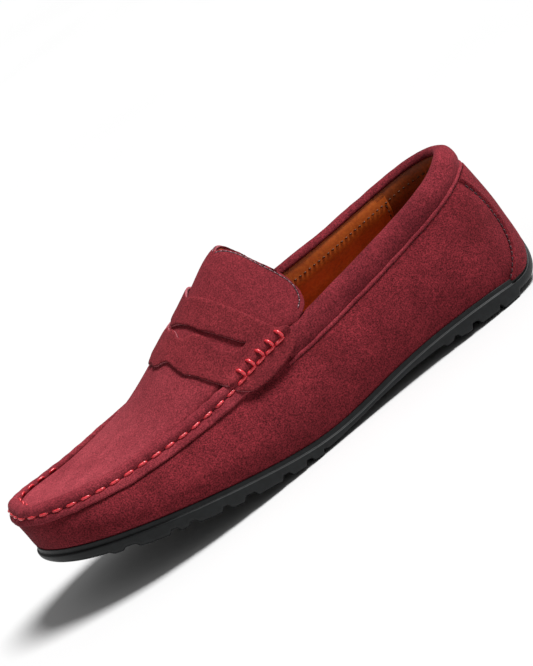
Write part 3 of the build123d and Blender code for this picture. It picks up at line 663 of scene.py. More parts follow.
# ================= apron and tongue =================
# the tongue's edge seen from above, from the middle to the lateral seam
TONGUE = [(6.6, -3.5), (9.3, -7.0), (13.8, -14.2), (18.3, -20.9), (22.6, -25.2), (25.0, -28.0),
          (24.2, -30.2), (21.5, -31.8), (15.5, -33.4)]
TONGUE_MEDIAL = [(6.6, -3.5), (9.3, 0.0), (13.8, 7.2), (18.3, 13.9), (22.6, 18.2), (25.0, 21.0), (24.2, 23.2),
                 (21.5, 24.6), (15.5, 26.4)]
SPINE_TOE, SPINE_REAR, SPINE_SOFT = -104, 2.0, 9.0
TONGUE_ROWS, SEAM_ROWS, APRON_COLUMNS = 90, 330, 64
SLOPE_STEP = 0.4            # for the slope of the instep
FINE = 160                  # steps that a line across the apron is measured with
SPINE_SLANT = 13            # the middle line's rows lean back by this under the tongue


def middle_line(x):
    return (np.interp(x, LATERAL[:, 0], LATERAL[:, 1]) + np.interp(x, MEDIAL[:, 0], MEDIAL[:, 1])) / 2


def apron_border(side):
    """The apron's edge in plan, from the tongue's tip along one side to the toe, and its middle line."""
    edge = np.array(TONGUE if side > 0 else TONGUE_MEDIAL)
    edge = curve_through(np.column_stack([edge, instep(edge[:, 0], edge[:, 1])]), TONGUE_ROWS)[:, :2]
    u = even_places(SEAM_START, TOE, SEAM_ROWS, 1.0)
    u = u if side > 0 else 1 - u
    x = wall(u, np.ones_like(u))[:, 0]
    reach = by_x(GROOVE_AT, x) + by_x(RIDGE_WIDTH, x) - 0.9
    seam = on_brow(u, brow_paths(u), reach[:, None], np.zeros((len(u), 1)))[:, 0, :2]
    seam = seam[int(np.argmax(seam[:, 0] < edge[-1, 0] - 0.6)):]
    share = np.linspace(0, len(seam) - 1, SEAM_ROWS)
    seam = places(share, np.arange(len(seam)), seam)
    border = np.vstack([edge, seam])
    slant = SPINE_SLANT * ease(border[:, 0], -45, 12)
    spine = SPINE_TOE + SPINE_SOFT * np.logaddexp(0, (border[:, 0] - slant - SPINE_TOE) / SPINE_SOFT)
    lead = np.linspace(0, 1, TONGUE_ROWS) ** 1.5
    spine[:TONGUE_ROWS] = SPINE_REAR + (spine[TONGUE_ROWS] - SPINE_REAR) * lead
    return border, spine


def apron_grid():
    """Rows across the apron from its lateral edge over the middle line to its medial edge."""
    borders, spines = zip(apron_border(1), apron_border(-1))
    spine = (spines[0] + spines[1]) / 2
    halves = []
    for border in borders:
        k = np.linspace(0, 1, FINE)
        half = []
        for (bx, by), sx in zip(border, spine):
            line_x = bx + (sx - bx) * k
            line_y = by + (float(middle_line(sx)) - by) * k
            line = np.column_stack([line_x, line_y, instep(line_x, line_y)])
            length = run(line)
            even = np.linspace(0, 1, APRON_COLUMNS) ** 1.15 * length[-1]
            half.append(places(even, length, line))
        halves.append(np.array(half))
    points = np.concatenate([halves[0], halves[1][:, -2::-1]], 1)
    x, y = points[..., 0], points[..., 1]
    normal = np.stack([instep(x - SLOPE_STEP, y) - instep(x + SLOPE_STEP, y),
                       instep(x, y - SLOPE_STEP) - instep(x, y + SLOPE_STEP),
                       np.full(x.shape, 2 * SLOPE_STEP)], -1)
    normal /= np.linalg.norm(normal, axis=-1, keepdims=True)
    inside = np.minimum(np.linalg.norm(points - points[:, :1], axis=-1),
                        np.linalg.norm(points - points[:, -1:], axis=-1))
    return points, normal, inside


APRON, APRON_NORMAL, APRON_INSIDE = apron_grid()
TONGUE_EDGE, TONGUE_STITCH, TONGUE_PITCH = 0.25, 3.0, 2.65


def apron():
    tucked = ease(np.arange(len(APRON)), TONGUE_ROWS - 6, TONGUE_ROWS + 4)[:, None]
    lift = wobble(APRON, 30, 0.5, 2) * ease(APRON_INSIDE, 3, 14)
    # along the seam it dips into the crease; along the tongue it is pinched by the stitches
    lift -= 0.9 * np.exp(-(APRON_INSIDE / 1.6) ** 2) * tucked
    lift += 0.25 * np.exp(-((APRON_INSIDE - 5) / 3) ** 2) * tucked
    lift -= 0.3 * np.exp(-((APRON_INSIDE - TONGUE_STITCH) / 0.8) ** 2) * (1 - tucked)
    lift -= TONGUE_EDGE * np.exp(-(APRON_INSIDE / 0.5) ** 2) * (1 - tucked)
    points = APRON + APRON_NORMAL * lift[..., None]
    mesh_object("apron_and_tongue", points, grid_faces(*points.shape[:2]), [APRON_SUEDE, CUT_EDGE_AND_HIGHLIGHT], "suede",
                "apron_plug", weld=0.08, thick=SUEDE_THICK)
    under = APRON - APRON_NORMAL * (SUEDE_THICK + 0.5)
    under = under[LINING_ROWS_BACK:, LINING_COLUMNS_IN:-LINING_COLUMNS_IN]
    mesh_object("apron_lining_sheet", under, grid_faces(*under.shape[:2]), TAN, "lining_leather",
                "apron_lining", weld=0.08, thick=LINING_THICK)


LINING_THICK = 1.0
LINING_ROWS_BACK, LINING_COLUMNS_IN = 4, 7     # the apron's lining stays back from its edges by these
apron()


# ================= the instep as a patch, for the strap and what is sewn to it =================
PATCH_STEP, ACROSS_STEP = 1.0, 0.5
PATCH_X = np.arange(-60, 30, PATCH_STEP)
PATCH_ACROSS = np.arange(-78, 78.1, ACROSS_STEP)


def make_patch():
    rows, halves = [], []
    for x in PATCH_X:
        path, even, whole = section(x)
        rows.append([[x, *(np.interp(across + whole / 2, even, path[:, k]) for k in (0, 1))]
                     for across in PATCH_ACROSS])
        halves.append(whole / 2)
    points = np.array(rows)
    normal = np.cross(np.gradient(points, axis=0), np.gradient(points, axis=1))
    return points, normal / np.linalg.norm(normal, axis=-1, keepdims=True), np.array(halves)


PATCH, PATCH_NORMAL, PATCH_HALF = make_patch()


def on_patch(x, across, lift):
    """Points on the instep at x and a distance across from its middle, lifted off it."""
    x, across, lift = (np.asarray(v, float) for v in np.broadcast_arrays(x, across, lift))
    i = np.clip((x - PATCH_X[0]) / PATCH_STEP, 0, len(PATCH_X) - 1.001)
    j = np.clip((across - PATCH_ACROSS[0]) / ACROSS_STEP, 0, len(PATCH_ACROSS) - 1.001)
    a, b = i.astype(int), j.astype(int)
    s, t = (i - a)[..., None], (j - b)[..., None]
    mixed = []
    for field in (PATCH, PATCH_NORMAL):
        mixed.append((field[a, b] * (1 - t) + field[a, b + 1] * t) * (1 - s)
                     + (field[a + 1, b] * (1 - t) + field[a + 1, b + 1] * t) * s)
    normal = mixed[1] / np.linalg.norm(mixed[1], axis=-1, keepdims=True)
    return mixed[0] + normal * lift[..., None]


def from_groove(x, across):
    """Distance in from the line of the hand stitches."""
    return np.interp(x, PATCH_X, PATCH_HALF) - np.abs(across) - by_x(GROOVE_AT, x)


# ================= saddle strap =================
# (x, distance across from the middle) on the lateral half; the medial half mirrors it
STRAP_AXIS = 5.0            # the strap's own middle is this far to the medial side
STRAP_FRONT = [(-47.4, 5.0), (-48.4, 1.6), (-47.0, -2.6), (-44.6, -5.6), (-43.4, -9), (-43.4, -15),
               (-42.8, -21), (-39.5, -27.5), (-36.5, -34), (-32.8, -41)]
STRAP_TAB = [(-30.6, -45), (-28.4, -49), (-24.5, -53.2), (-19.5, -55.8), (-12, -57.8), (-4, -59.4),
             (3.5, -59.4), (8.0, -57), (9.2, -53), (8.2, -49.2)]
STRAP_REAR = [(4.4, -46.4), (1.2, -40), (-1.5, -33.3), (-7, -20.2), (-12.6, -5), (-15.4, 2), (-16.2, 5)]
SLOT_REAR = [(-30, 5.0), (-28.2, 0), (-26, -6.5), (-23.5, -15.0), (-18.5, -25.5), (-13.0, -36)]
SLOT_FRONT = [(-11.2, -38), (-14.6, -37.6), (-19, -35), (-22.2, -30), (-23.4, -24), (-24.4, -18.5),
              (-26.6, -13), (-30.6, -9.5), (-32.4, -6.4), (-31.4, -2.6), (-30.9, 1.5), (-32, 5.0)]
# height of the strap's face over the instep, by the distance in from the hand stitches
STRAP_FACE = [(-40, 4.2), (-12, 4.0), (-8, 3.7), (-4, 3.1), (-1.4, 2.5), (0, 1.8), (1.0, 3.1), (2.4, 4.3),
              (3.8, 3.8), (5.0, 2.5), (6.6, 1.9), (9, 1.75), (60, 1.75)]
STRAP_THICK = 1.4
PLAIN_STRAP = 8             # further in from the hand stitches than this the strap is free to wave
OUTLINE_STEP, STRAP_STEP = 0.8, 1.1
SLOT_POINTS = 260


def mirrored(half):
    """A closed outline from its lateral half, which runs from the strap's middle to its middle."""
    half = np.array(half, float)
    other = half[::-1][1:-1].copy()
    shift = 2 * STRAP_AXIS * np.clip(1 - np.abs(other[:, 1] - STRAP_AXIS) / 45, 0, 1)
    other[:, 1] = shift - other[:, 1]
    return np.vstack([half, other])


def inside_of(points, outline):
    """Even-odd test of points against a closed outline."""
    x, y = points[:, :1], points[:, 1:]
    ax, ay = outline[:, 0], outline[:, 1]
    bx, by = np.roll(ax, -1), np.roll(ay, -1)
    spans = (ay > y) != (by > y)
    with np.errstate(divide="ignore", invalid="ignore"):
        crossing = x < (bx - ax) * (y - ay) / (by - ay) + ax
    return (spans & crossing).sum(1) % 2 == 1


def cut_sheet(outline, holes, spacing):
    """Triangles of a flat sheet cut to an outline, with holes: its points and faces."""
    loops = [outline] + holes
    low, high = outline.min(0), outline.max(0)
    gx, gy = np.meshgrid(np.arange(low[0], high[0], spacing), np.arange(low[1], high[1], spacing * 0.9),
                         indexing="ij")
    gx[:, 1::2] += spacing / 2
    inner = np.column_stack([gx.ravel(), gy.ravel()])
    inner = inner[inside_of(inner, outline)]
    for hole in holes:
        inner = inner[~inside_of(inner, hole)]
    border = np.vstack(loops)
    near = np.array([np.hypot(*(border - p).T).min() for p in inner])
    inner = inner[near > spacing * 0.45]
    points = np.vstack([border, inner])
    edges, start = [], 0
    for loop in loops:
        edges += [(start + k, start + (k + 1) % len(loop)) for k in range(len(loop))]
        start += len(loop)
    made = delaunay_2d_cdt([Vector(p) for p in points.tolist()], edges, [], 1, 1e-5)
    points = np.array([tuple(p) for p in made[0]])
    faces = np.array([list(f) for f in made[2]])
    centre = points[faces].mean(1)
    keep = inside_of(centre, outline)
    for hole in holes:
        keep &= ~inside_of(centre, hole)
    return points, faces[keep]


def strap():
    outline = mirrored(STRAP_FRONT + STRAP_TAB + STRAP_REAR)
    slot = mirrored(SLOT_REAR + SLOT_FRONT)
    count = int(np.hypot(*np.diff(np.vstack([outline, outline[:1]]), axis=0).T).sum() / OUTLINE_STEP)
    outline = curve_through(outline, count, closed=True)
    slot = curve_through(slot, SLOT_POINTS, closed=True)
    flat, faces = cut_sheet(outline, [slot], STRAP_STEP)
    border = np.array([np.hypot(*(np.vstack([outline, slot]) - p).T).min() for p in flat])
    offset = from_groove(flat[:, 0], flat[:, 1])
    lift = by_x(STRAP_FACE, offset)
    puckers = np.cos(2 * math.pi * (flat[:, 0] - WHIP_START) / WHIP_PITCH)
    lift += 0.3 * puckers * np.exp(-((offset - 2.2) / 1.8) ** 2)
    lift -= 0.18 * np.exp(-(border / 0.7) ** 2)
    points = on_patch(flat[:, 0], flat[:, 1], lift)
    points[:, 2] += wobble(points, 16, 0.45, 4) * (offset > PLAIN_STRAP)
    mesh_object("penny_strap", points, faces.tolist(), [STRAP_SUEDE, CUT_EDGE_AND_HIGHLIGHT], "suede", "saddle_strap",
                thick=STRAP_THICK)


WHIP_PITCH = 6.36
WHIP_START = -27.7          # x of the first joint between the running stitches
WHIP_COUNT = 5
WHIP_SIDES, WHIP_TWIST = 9, 1.5
WHIP_RADIUS = 0.9
WHIP_REACH = (-2.0, 5.2)    # a whip stitch's head from its foot: along the shoe, towards its middle


def arc_stitch(start, end, radius, raised=0.0):
    """One stitch over the strap, from one (x, across) to another."""
    share = np.linspace(0, 1, 15)
    x = start[0] + (end[0] - start[0]) * share
    across = start[1] + (end[1] - start[1]) * share
    offset = from_groove(x, across)
    lift = by_x(STRAP_FACE, offset) + radius * 0.75 - radius * 1.9 * np.abs(2 * share - 1) ** 7
    size = radius * (1 - 0.3 * np.abs(2 * share - 1) ** 5)
    return tube(on_patch(x, across, lift + raised), size, WHIP_SIDES, WHIP_TWIST, PLY_GROOVE)


def strap_stitches(side, node):
    parts = []
    joints = []
    for k in range(WHIP_COUNT + 1):
        x = WHIP_START + WHIP_PITCH * k
        half = np.interp(x, PATCH_X, PATCH_HALF)
        joints.append((x, side * (half - by_x(GROOVE_AT, x) + 0.1)))
    for k in range(WHIP_COUNT):
        near, far = joints[k], joints[k + 1]
        lead = WHIP_RADIUS / WHIP_PITCH
        begin = tuple(near[i] + (far[i] - near[i]) * lead for i in (0, 1))
        parts.append(arc_stitch(begin, far, WHIP_RADIUS))
        head = (far[0] + WHIP_REACH[0], far[1] - side * WHIP_REACH[1])
        parts.append(arc_stitch(head, (far[0] - 0.3, far[1] - side * 0.2), 0.95 * WHIP_RADIUS, 0.15))
    sewn(node + "_loops", parts, RED_THREAD, "waxed_thread", node)


strap()
strap_stitches(-1, "strap_thread_lateral")
strap_stitches(1, "strap_thread_medial")


# ================= tongue topstitch =================
def tongue_stitches():
    rows = slice(5, TONGUE_ROWS - 5)
    parts, holes = [], []
    for half, step in ((slice(0, APRON_COLUMNS), 1), (slice(APRON_COLUMNS - 1, None), -1)):
        points, normal, inside = (field[rows, half][:, ::step]
                                  for field in (APRON, APRON_NORMAL, APRON_INSIDE))
        line = np.array([[np.interp(TONGUE_STITCH, inside[k], points[k, :, i]) for i in range(3)]
                         for k in range(len(points))])
        up = normal[np.arange(len(points)), np.argmin(np.abs(inside - TONGUE_STITCH), axis=1)]
        parts += stitches(line - up * 0.2, up, TONGUE_PITCH, 1.5, 0.32, 0.25, twist=MACHINE_TWIST, sides=6)
        # needle holes: short dark tubes sunk into the suede between the stitches, painted shade in the holes
        holes += stitches(line - up * 0.25, up, TONGUE_PITCH, 1.1, 0.42, 0.12, start=1.5, twist=0.0, sides=6)
    sewn("tongue_stitches", parts, PALE_THREAD, "dark_thread", "tongue_topstitch")
    sewn("tongue_needle_hole_shade", holes, DARK_THREAD_AND_HOLE_SHADE, "dark_thread")


tongue_stitches()

# ================= collar =================
COLLAR = [(0.5, 0.3), (0.1, 2.0), (-0.5, 5.0), (-0.2, 8.6), (1.4, 11.7), (4.4, 13.6), (7.2, 13.1), (8.5, 11.7),
          (8.8, 10.6), (8.4, 9.9)]
COLLAR_REACH = 0.247
COLLAR_ROWS, COLLAR_COLUMNS = 420, 36
PIPING_AT, PIPING_RADIUS, PIPING_REACH = (0.1, 0.9), 0.95, 0.2505
PIPING_PITCH = 3.1


def collar_section(u, across, up):
    row = station(u)[0]
    return in_space(u, row[..., 3] + across, row[..., 4] + up)


def collar():
    u = even_places(-COLLAR_REACH, COLLAR_REACH, COLLAR_ROWS, 1.0)
    profile = curve_through(COLLAR, COLLAR_COLUMNS)
    points = collar_section(np.repeat(u[:, None], COLLAR_COLUMNS, 1), profile[None, :, 0],
                            profile[None, :, 1])
    normal = normals_of(points)
    middle = np.sin(np.linspace(0, math.pi, COLLAR_COLUMNS))[None] ** 0.5
    lift = (wobble(points, 16, 0.55, 7) + wobble(points, 6, 0.16, 8)) * middle
    points = points + normal * lift[..., None]
    piece = mesh_object("collar_roll", points, grid_faces(*points.shape[:2]), COLLAR_SUEDE, "suede",
                        "collar_cover", thick=1.2)


def piping():
    u = even_places(-PIPING_REACH, PIPING_REACH, 520, 1.0)
    line = collar_section(u, np.full(len(u), PIPING_AT[0]), np.full(len(u), PIPING_AT[1]))
    line = line + wobble(line, 9, 0.3, 1)[:, None] * [0, 0, 1]
    size = PIPING_RADIUS + wobble(line, 4, 0.16, 6)
    points, faces = tube(line, size, 12)
    mesh_object("collar_piping_cord", points, faces, RIDGE_SUEDE, "suede", "collar_piping")
    outward = np.column_stack([-inward(u), 0 * u])
    below = collar_section(u, np.full(len(u), 0.15), np.full(len(u), -0.3)) + outward * 0.1
    parts = stitches(below, outward, PIPING_PITCH, 2.1, 0.2, 0.06, twist=MACHINE_TWIST, sides=6)
    sewn("piping_stitches", parts, DARK_THREAD_AND_HOLE_SHADE, "dark_thread", "piping_topstitch")


collar()
piping()

# ================= heel overlay =================
OVERLAY_REACH = [(0, 0.086), (0.05, 0.080), (0.11, 0.0735), (0.16, 0.0675), (0.22, 0.0615), (0.29, 0.0565),
                 (0.37, 0.0525), (0.47, 0.050), (0.6, 0.0485), (0.74, 0.050), (0.85, 0.053), (0.94, 0.057),
                 (1.0, 0.061)]      # (height on the wall, how far round the heel)
# lift of the overlay by the distance in from its edge: the fold along the edge stands highest
EDGE_FOLD = [(-1, -0.35), (0, -0.25), (0.5, 0.75), (1.1, 1.55), (1.7, 1.75), (2.4, 1.5), (3.4, 1.25),
             (60, 1.2)]
OVERLAY_PITCH = 2.9


def heel_overlay():
    t = np.linspace(-0.02, 0.985, 70)
    reach = by_x(OVERLAY_REACH, t)
    share = np.linspace(-1, 1, 221)
    share = np.sign(share) * (1 - (1 - np.abs(share)) ** 1.6)     # closer columns at the edges
    u = share[:, None] * reach[None]
    surface = wall(u.ravel(), np.repeat(t[None], len(share), 0).ravel()).reshape(len(share), len(t), 3)
    normal = normals_of(surface)
    along = np.concatenate([np.zeros((1, len(t))),
                            np.cumsum(np.linalg.norm(np.diff(surface, axis=0), axis=-1), axis=0)])
    inside = np.minimum(along, along[-1:] - along)
    lift = by_x(EDGE_FOLD, inside) + wobble(surface, 14, 0.3, 3) * ease(inside, 2, 8)
    lift += wobble(surface, 3, 0.12, 8) * (1 - ease(inside, 1, 3))
    points = surface + normal * lift[..., None]
    mesh_object("heel_overlay_panel", points, grid_faces(*points.shape[:2]), WALL_SUEDE, "suede",
                "heel_overlay", thick=1.3)
    parts = []
    for row in (0, -1):
        line, up = surface[row, 2:-1], normal[row, 2:-1]
        parts += stitches(line + up * 0.1, up, OVERLAY_PITCH, 2.0, 0.34, 0.3, twist=MACHINE_TWIST, sides=6)
    sewn("heel_overlay_stitches", parts, DARK_THREAD_AND_HOLE_SHADE, "dark_thread", "heel_overlay_topstitch")


heel_overlay()

# ================= inside =================
LINING_DEPTH = 3.3
HEEL_LINING = 0.1145        # the brown heel lining reaches this far round
QUARTER_END = 0.25          # the quarter linings end here, below the tongue
LINING_HEIGHTS = np.array([-0.03, 0.05, 0.15, 0.3, 0.45, 0.6, 0.75, 0.86])
# the upper end of the linings, tucked into the collar's roll: (across, up) from the seam line
LINING_TOP = [(6.8, -0.6), (8.0, 4.0), (8.2, 7.6), (7.5, 10.0), (6.4, 11.2)]
LINING_ROWS, LINING_COLUMNS = 150, 64
QUARTER_RAISED = 0.6        # the quarter linings lie over the heel lining's edges by this
LINING_WAVE = (20, 0.9, 11)


def lining_section(u):
    """The lining's face: from the footbed up to the inner edge of the collar's roll."""
    depth, height = wall_section(np.full(len(LINING_HEIGHTS), u), LINING_HEIGHTS)
    row = station(np.array(u))[0]
    path = np.column_stack([depth + LINING_DEPTH + LINING_THICK, height])
    return curve_through(np.vstack([path, row[3:5] + LINING_TOP]), LINING_COLUMNS)


def lining_panel(name, first, last, finish, slot, node, raise_by):
    u = even_places(first, last, LINING_ROWS, 0.5)
    sections = np.array([lining_section(v) for v in u])
    points = in_space(np.repeat(u[:, None], LINING_COLUMNS, 1), sections[..., 0], sections[..., 1])
    normal = -normals_of(points)
    inside = np.minimum(np.linalg.norm(points - points[:1], axis=-1),
                        np.linalg.norm(points - points[-1:], axis=-1))
    upward = np.linspace(0, 1, LINING_COLUMNS)[None]
    lift = raise_by * ease(inside, -0.3, 0.6) * (1 - ease(upward, 0.79, 0.92))
    lift += (wobble(points, *LINING_WAVE) + wobble(points, 7, 0.25, 11)) * np.sin(math.pi * upward)
    points = points + normal * lift[..., None]
    return mesh_object(name, points, grid_faces(*points.shape[:2], flip=True), finish, slot, node,
                       thick=LINING_THICK)


DOTS_DOWN, DOTS_PITCH = 8.2, 3.0    # the dotted stitches below the lining's top edge
DOTS_REACH = 0.243
SEAM_STITCHES = HEEL_LINING + 0.0035


def lining_stitches():
    u = even_places(-DOTS_REACH, DOTS_REACH, 500, 1.0)
    line, up = [], []
    for v in u:
        path = lining_section(v)
        length = run(path)
        across, up_by = places(length[-1] - DOTS_DOWN, length, path)[0]
        line.append((across + 0.1 + (0 if abs(v) < HEEL_LINING else QUARTER_RAISED), up_by))
        up.append([*inward(np.array(v)), 0.15])
    line = np.array(line)
    points = in_space(u, line[:, 0], line[:, 1])
    points = points + np.array(up) * wobble(points, *LINING_WAVE)[:, None]
    parts = stitches(points, np.array(up), DOTS_PITCH, 1.2, 0.4, 0.14, twist=MACHINE_TWIST, sides=6)
    for side in (1, -1):
        v = side * SEAM_STITCHES
        path = lining_section(v)[6:58]
        row = in_space(np.full(len(path), v), path[:, 0] + 0.7, path[:, 1])
        normal = np.repeat([[*inward(np.array(v)), 0]], len(path), 0)
        row = row + normal * wobble(row, *LINING_WAVE)[:, None]
        parts += stitches(row, normal, DOTS_PITCH, 1.6, 0.4, 0.16, twist=MACHINE_TWIST, sides=6)
    sewn("lining_stitches", parts, LINING_THREAD, "dark_thread", "lining_topstitch")


lining_panel("heel_lining_panel", -HEEL_LINING - 0.01, HEEL_LINING + 0.01, BROWN, "heel_leather",
             "heel_lining", 0.0)
lining_panel("quarter_lining_lateral_panel", HEEL_LINING, QUARTER_END, TAN, "lining_leather",
             "quarter_lining_lateral", QUARTER_RAISED)
lining_panel("quarter_lining_medial_panel", 1 - QUARTER_END, 1 - HEEL_LINING, TAN, "lining_leather",
             "quarter_lining_medial", QUARTER_RAISED)
lining_stitches()

SOCK_INSET, SOCK_RISE = 5.0, 5.2
SOCK_ROUND, SOCK_COLUMNS = 400, 40
HEEL_PAD_RISE = 3.0


def sock():
    u = even_places(0, 1, SOCK_ROUND + 1)[:-1]
    share = np.linspace(0, 1, SOCK_COLUMNS) ** 1.2
    row = station(u)[0]
    edge = in_space(u, np.full(len(u), SOCK_INSET), row[:, 2] * 0)
    spine_x = np.clip(edge[:, 0], -95, 95)
    spine_x = spine_x * 0.985
    y = middle_plan(spine_x)
    spine = np.column_stack([spine_x, y, 0 * y])
    points = edge[:, None] * (1 - share[None, :, None]) + spine[:, None] * share[None, :, None]
    floor = np.interp(points[..., 0], *RIM_TABLE)
    dish = 1.6 * np.exp(-np.linalg.norm(points - edge[:, None], axis=-1) / 6)
    pad = HEEL_PAD_RISE * ease(points[..., 0], 56, 78)
    points[..., 2] = floor - 3.0 + SOCK_RISE + dish + pad * (1 - 0.35 * ease(points[..., 0], 90, 125))
    points[..., 2] += wobble(points, 26, 0.9, 15) + wobble(points, 8, 0.15, 16)
    mesh_object("sock", points, grid_faces(*points.shape[:2], closed=True), SOCK, "sock_leather",
                "sock_liner", weld=0.02)


def middle_plan(x):
    u = np.linspace(0.02, 0.49, 300)
    lateral, medial = wall(u, np.zeros(300)), wall(1 - u, np.zeros(300))
    order = np.argsort(lateral[:, 0])
    y_lateral = np.interp(x, lateral[order, 0], lateral[order, 1])
    order = np.argsort(medial[:, 0])
    return (y_lateral + np.interp(x, medial[order, 0], medial[order, 1])) / 2


def rim_table():
    u = np.linspace(0.0, 0.5, 200)
    row = station(u)[0]
    return row[::-1, 0], row[::-1, 2]


RIM_TABLE = rim_table()
sock()

# ================= sole =================
ARCH_START, ARCH_END = -9.0, 64.0
LUGS = [(-119, -114), (-107.5, -93), (-88.5, -84), (-79.5, -67.5), (-63.5, -56), (-49.5, -35.5), (-30.5, -22),
        (-17.5, -11.5), (68.5, 73.5), (77, 84.5), (89.5, 101.5), (103.5, 115)]
GROOVE = [(-147, 28.8), (-143, 27.3), (-134, 24.9), (-124, 22.8), (-112, 20.5), (-91, 16.0), (-65, 10.4),
          (-54, 8.1), (-33, 4.5), (-19, 2.9), (-10, 2.5), (66, 4.6), (86, 4.2), (100, 3.4), (112, 2.4),
          (124, 2.2), (132, 3.2), (147, 7)]
TREAD = [(-119, 20.6), (-114, 19.5), (-104, 16.8), (-95, 14.8), (-86, 13.2), (-74, 10.3), (-58, 6.6),
         (-44, 4.0), (-37, 2.9), (-25, 1.1), (-15, 0.2), (-12, 0), (66, 3.1), (73, 3.1), (81, 1.8), (95, 1.1),
         (101, 0.9), (104, 0), (121, 0)]
ARCH = [(-9, 1.0), (0, 1.2), (12, 2.2), (24, 3.4), (36, 4.3), (48, 5.0), (64, 4.9)]
CHANNELS, CHANNEL_HALF = (-24.0, -8.0, 8.0, 24.0), 1.5
RUN_OUT = 1.3               # of a lug's flanks
SOLE_PROUD = 1.35
# the recess below the suede, the ledge and the top of the side: (out from the outline, down from its edge)
SOLE_LEDGE = [(-1.6, 0.6), (-0.35, 0.3), (-0.1, -0.15), (0.1, 0.1), (0.15, 0.9), (0.2, 1.9), (0.5, 2.3),
              (0.95, 2.45), (1.25, 2.75), (SOLE_PROUD, 3.3)]
SOLE_ROUND = 1200
LEDGE_COLUMNS, FLANK_COLUMNS, TURN_COLUMNS, TREAD_COLUMNS = 30, 7, 10, 66
SPINE_END = 112             # the tread's rows run in to a middle line between plus and minus this
groove_level, arch_level = open_spline(GROOVE), open_spline(ARCH)


def lug_share(x):
    """1 on a lug, 0 between lugs, with rounded flanks."""
    share = np.zeros_like(x)
    for first, last in LUGS:
        share = np.maximum(share, ease(x, first - RUN_OUT, first + RUN_OUT * 0.6)
                           * (1 - ease(x, last - RUN_OUT * 0.6, last + RUN_OUT)))
    return share


def sole_bottom(x, y):
    base = groove_level(x)
    tread = by_x(TREAD, x)
    channel = np.zeros_like(x)
    for middle in CHANNELS:
        channel = np.maximum(channel, 1 - ease(np.abs(y - middle), CHANNEL_HALF * 0.55, CHANNEL_HALF * 1.3))
    level = base + (tread - base) * lug_share(x) * (1 - channel)
    arch = ease(x, ARCH_START - 2.5, ARCH_START + 1) * (1 - ease(x, ARCH_END - 1, ARCH_END + 3))
    return level * (1 - arch) + arch_level(x) * arch


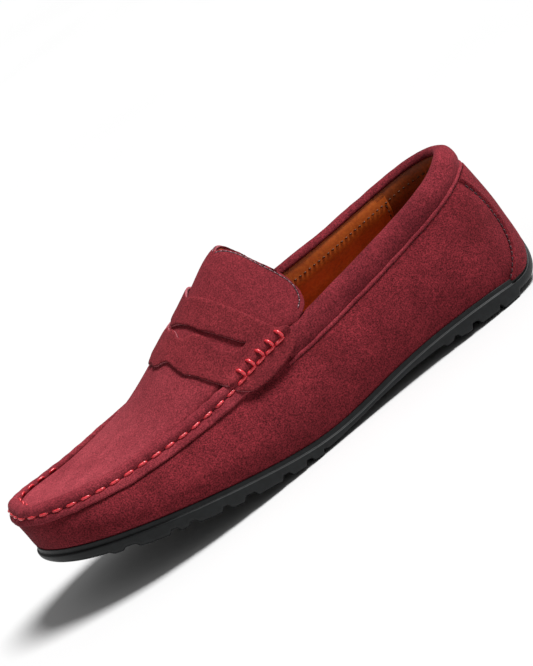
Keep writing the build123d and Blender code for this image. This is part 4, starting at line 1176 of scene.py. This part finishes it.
def sole():
    u = even_places(0, 1, SOLE_ROUND + 1)[:-1]
    rim = station(u)[0][:, 2]
    side = curve_through(SOLE_LEDGE, LEDGE_COLUMNS)
    cup = in_space(np.repeat(u[:, None], LEDGE_COLUMNS, 1), -side[None, :, 0],
                   rim[:, None] - side[None, :, 1])
    outer = in_space(u, np.full(len(u), -SOLE_PROUD), 0 * u)
    spine_x = np.clip(outer[:, 0], -SPINE_END, SPINE_END)
    spine = np.column_stack([spine_x, middle_plan(spine_x), 0 * spine_x])
    reach = np.linalg.norm(spine - outer, axis=1)
    # the lower edge is rounded, most of all at the heel's back and at the toe
    heel = np.exp(-(np.minimum(u, 1 - u) / 0.04) ** 2)
    toe = np.exp(-((u - TOE) / 0.06) ** 2)
    round_in = 2.4 + 3.0 * heel + 1.6 * toe
    edge_level = sole_bottom(outer[:, 0], outer[:, 1])
    start = cup[:, -1, 2]
    round_up = np.minimum(2.4 + 7.5 * heel + 0.8 * toe, (start - edge_level) * 0.85)
    turn = np.linspace(0, math.pi / 2, TURN_COLUMNS)
    share = np.linspace(0, 1, TREAD_COLUMNS + 1)[1:]
    inset = np.concatenate([round_in[:, None] * (1 - np.cos(turn))[None],
                            round_in[:, None] + (reach - round_in)[:, None] * share[None]], 1)
    rise = np.concatenate([round_up[:, None] * (1 - np.sin(turn))[None],
                           np.zeros((len(u), TREAD_COLUMNS))], 1)
    bottom = outer[:, None] + (spine - outer)[:, None] * (inset / reach[:, None])[..., None]
    bottom[..., 2] = sole_bottom(bottom[..., 0], bottom[..., 1]) + rise
    low = bottom[:, 0, 2]
    blend = np.linspace(0, 1, FLANK_COLUMNS + 1)[1:-1]
    flank = np.repeat(cup[:, -1:], len(blend), 1)
    flank[..., 2] = start[:, None] + (low - start)[:, None] * blend[None]
    points = np.concatenate([cup, flank, bottom], 1)
    points = points + normals_of(points) * (wobble(points, 11, 0.12, 20))[..., None]
    points[..., 2] = np.maximum(points[..., 2], 0)
    mesh_object("rubber_unit_sole", points, grid_faces(*points.shape[:2], closed=True, flip=True), RUBBER,
                "rubber", "outsole", weld=0.02)


sole()

# ================= what stays from the frame =================
FINISH = {"insole_board": BOARD, "heel_pad": FOAM, "vamp_lining": TAN,
          "collar_foam": FOAM, "toe_puff": STIFFENER, "heel_counter": STIFFENER,
          "interlining_lateral": INTERLINING, "interlining_medial": INTERLINING}
for node, finish in FINISH.items():
    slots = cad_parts[node].data.materials
    slots.clear()
    slots.append(finish)


# ================= floor and light =================
FLOOR_HALF = 6000
KEY_FROM, KEY_STRENGTH, KEY_SOFTNESS = (0.44, -0.16, 0.88), 5.0, 24
ROOM_LIGHT = 0.3


def floor_material():
    made = Shader("floor", Roughness=0.9, Specular_IOR_Level=0.05)
    made.colour(made.ramp(made.noise(3, 2), (0.3, (0.59, 0.59, 0.59, 1)), (0.7, (0.61, 0.61, 0.61, 1))))
    return made.material


def floor():
    corners = [(-1, -1, 0), (1, -1, 0), (1, 1, 0), (-1, 1, 0)]
    mesh = bpy.data.meshes.new("floor")
    mesh.from_pydata([Vector(c) * FLOOR_HALF * MM for c in corners], [], [(0, 1, 2, 3)])
    mesh.materials.append(floor_material())
    piece = bpy.data.objects.new("floor", mesh)
    bpy.context.scene.collection.objects.link(piece)


def sun(name, direction, strength, softness):
    """A soft distant lamp that shines from a direction."""
    data = bpy.data.lights.new(name, "SUN")
    data.energy = strength
    data.angle = math.radians(softness)
    lamp = bpy.data.objects.new(name, data)
    lamp.rotation_euler = Vector(direction).to_track_quat("Z", "Y").to_euler()
    bpy.context.scene.collection.objects.link(lamp)


floor()
sun("key", KEY_FROM, KEY_STRENGTH, KEY_SOFTNESS)
world = bpy.data.worlds.new("studio")
world.use_nodes = True
world.node_tree.nodes["Background"].inputs["Color"].default_value = (1, 1, 1, 1)
world.node_tree.nodes["Background"].inputs["Strength"].default_value = ROOM_LIGHT
bpy.context.scene.world = world
bpy.context.scene.view_settings.view_transform = "Standard"
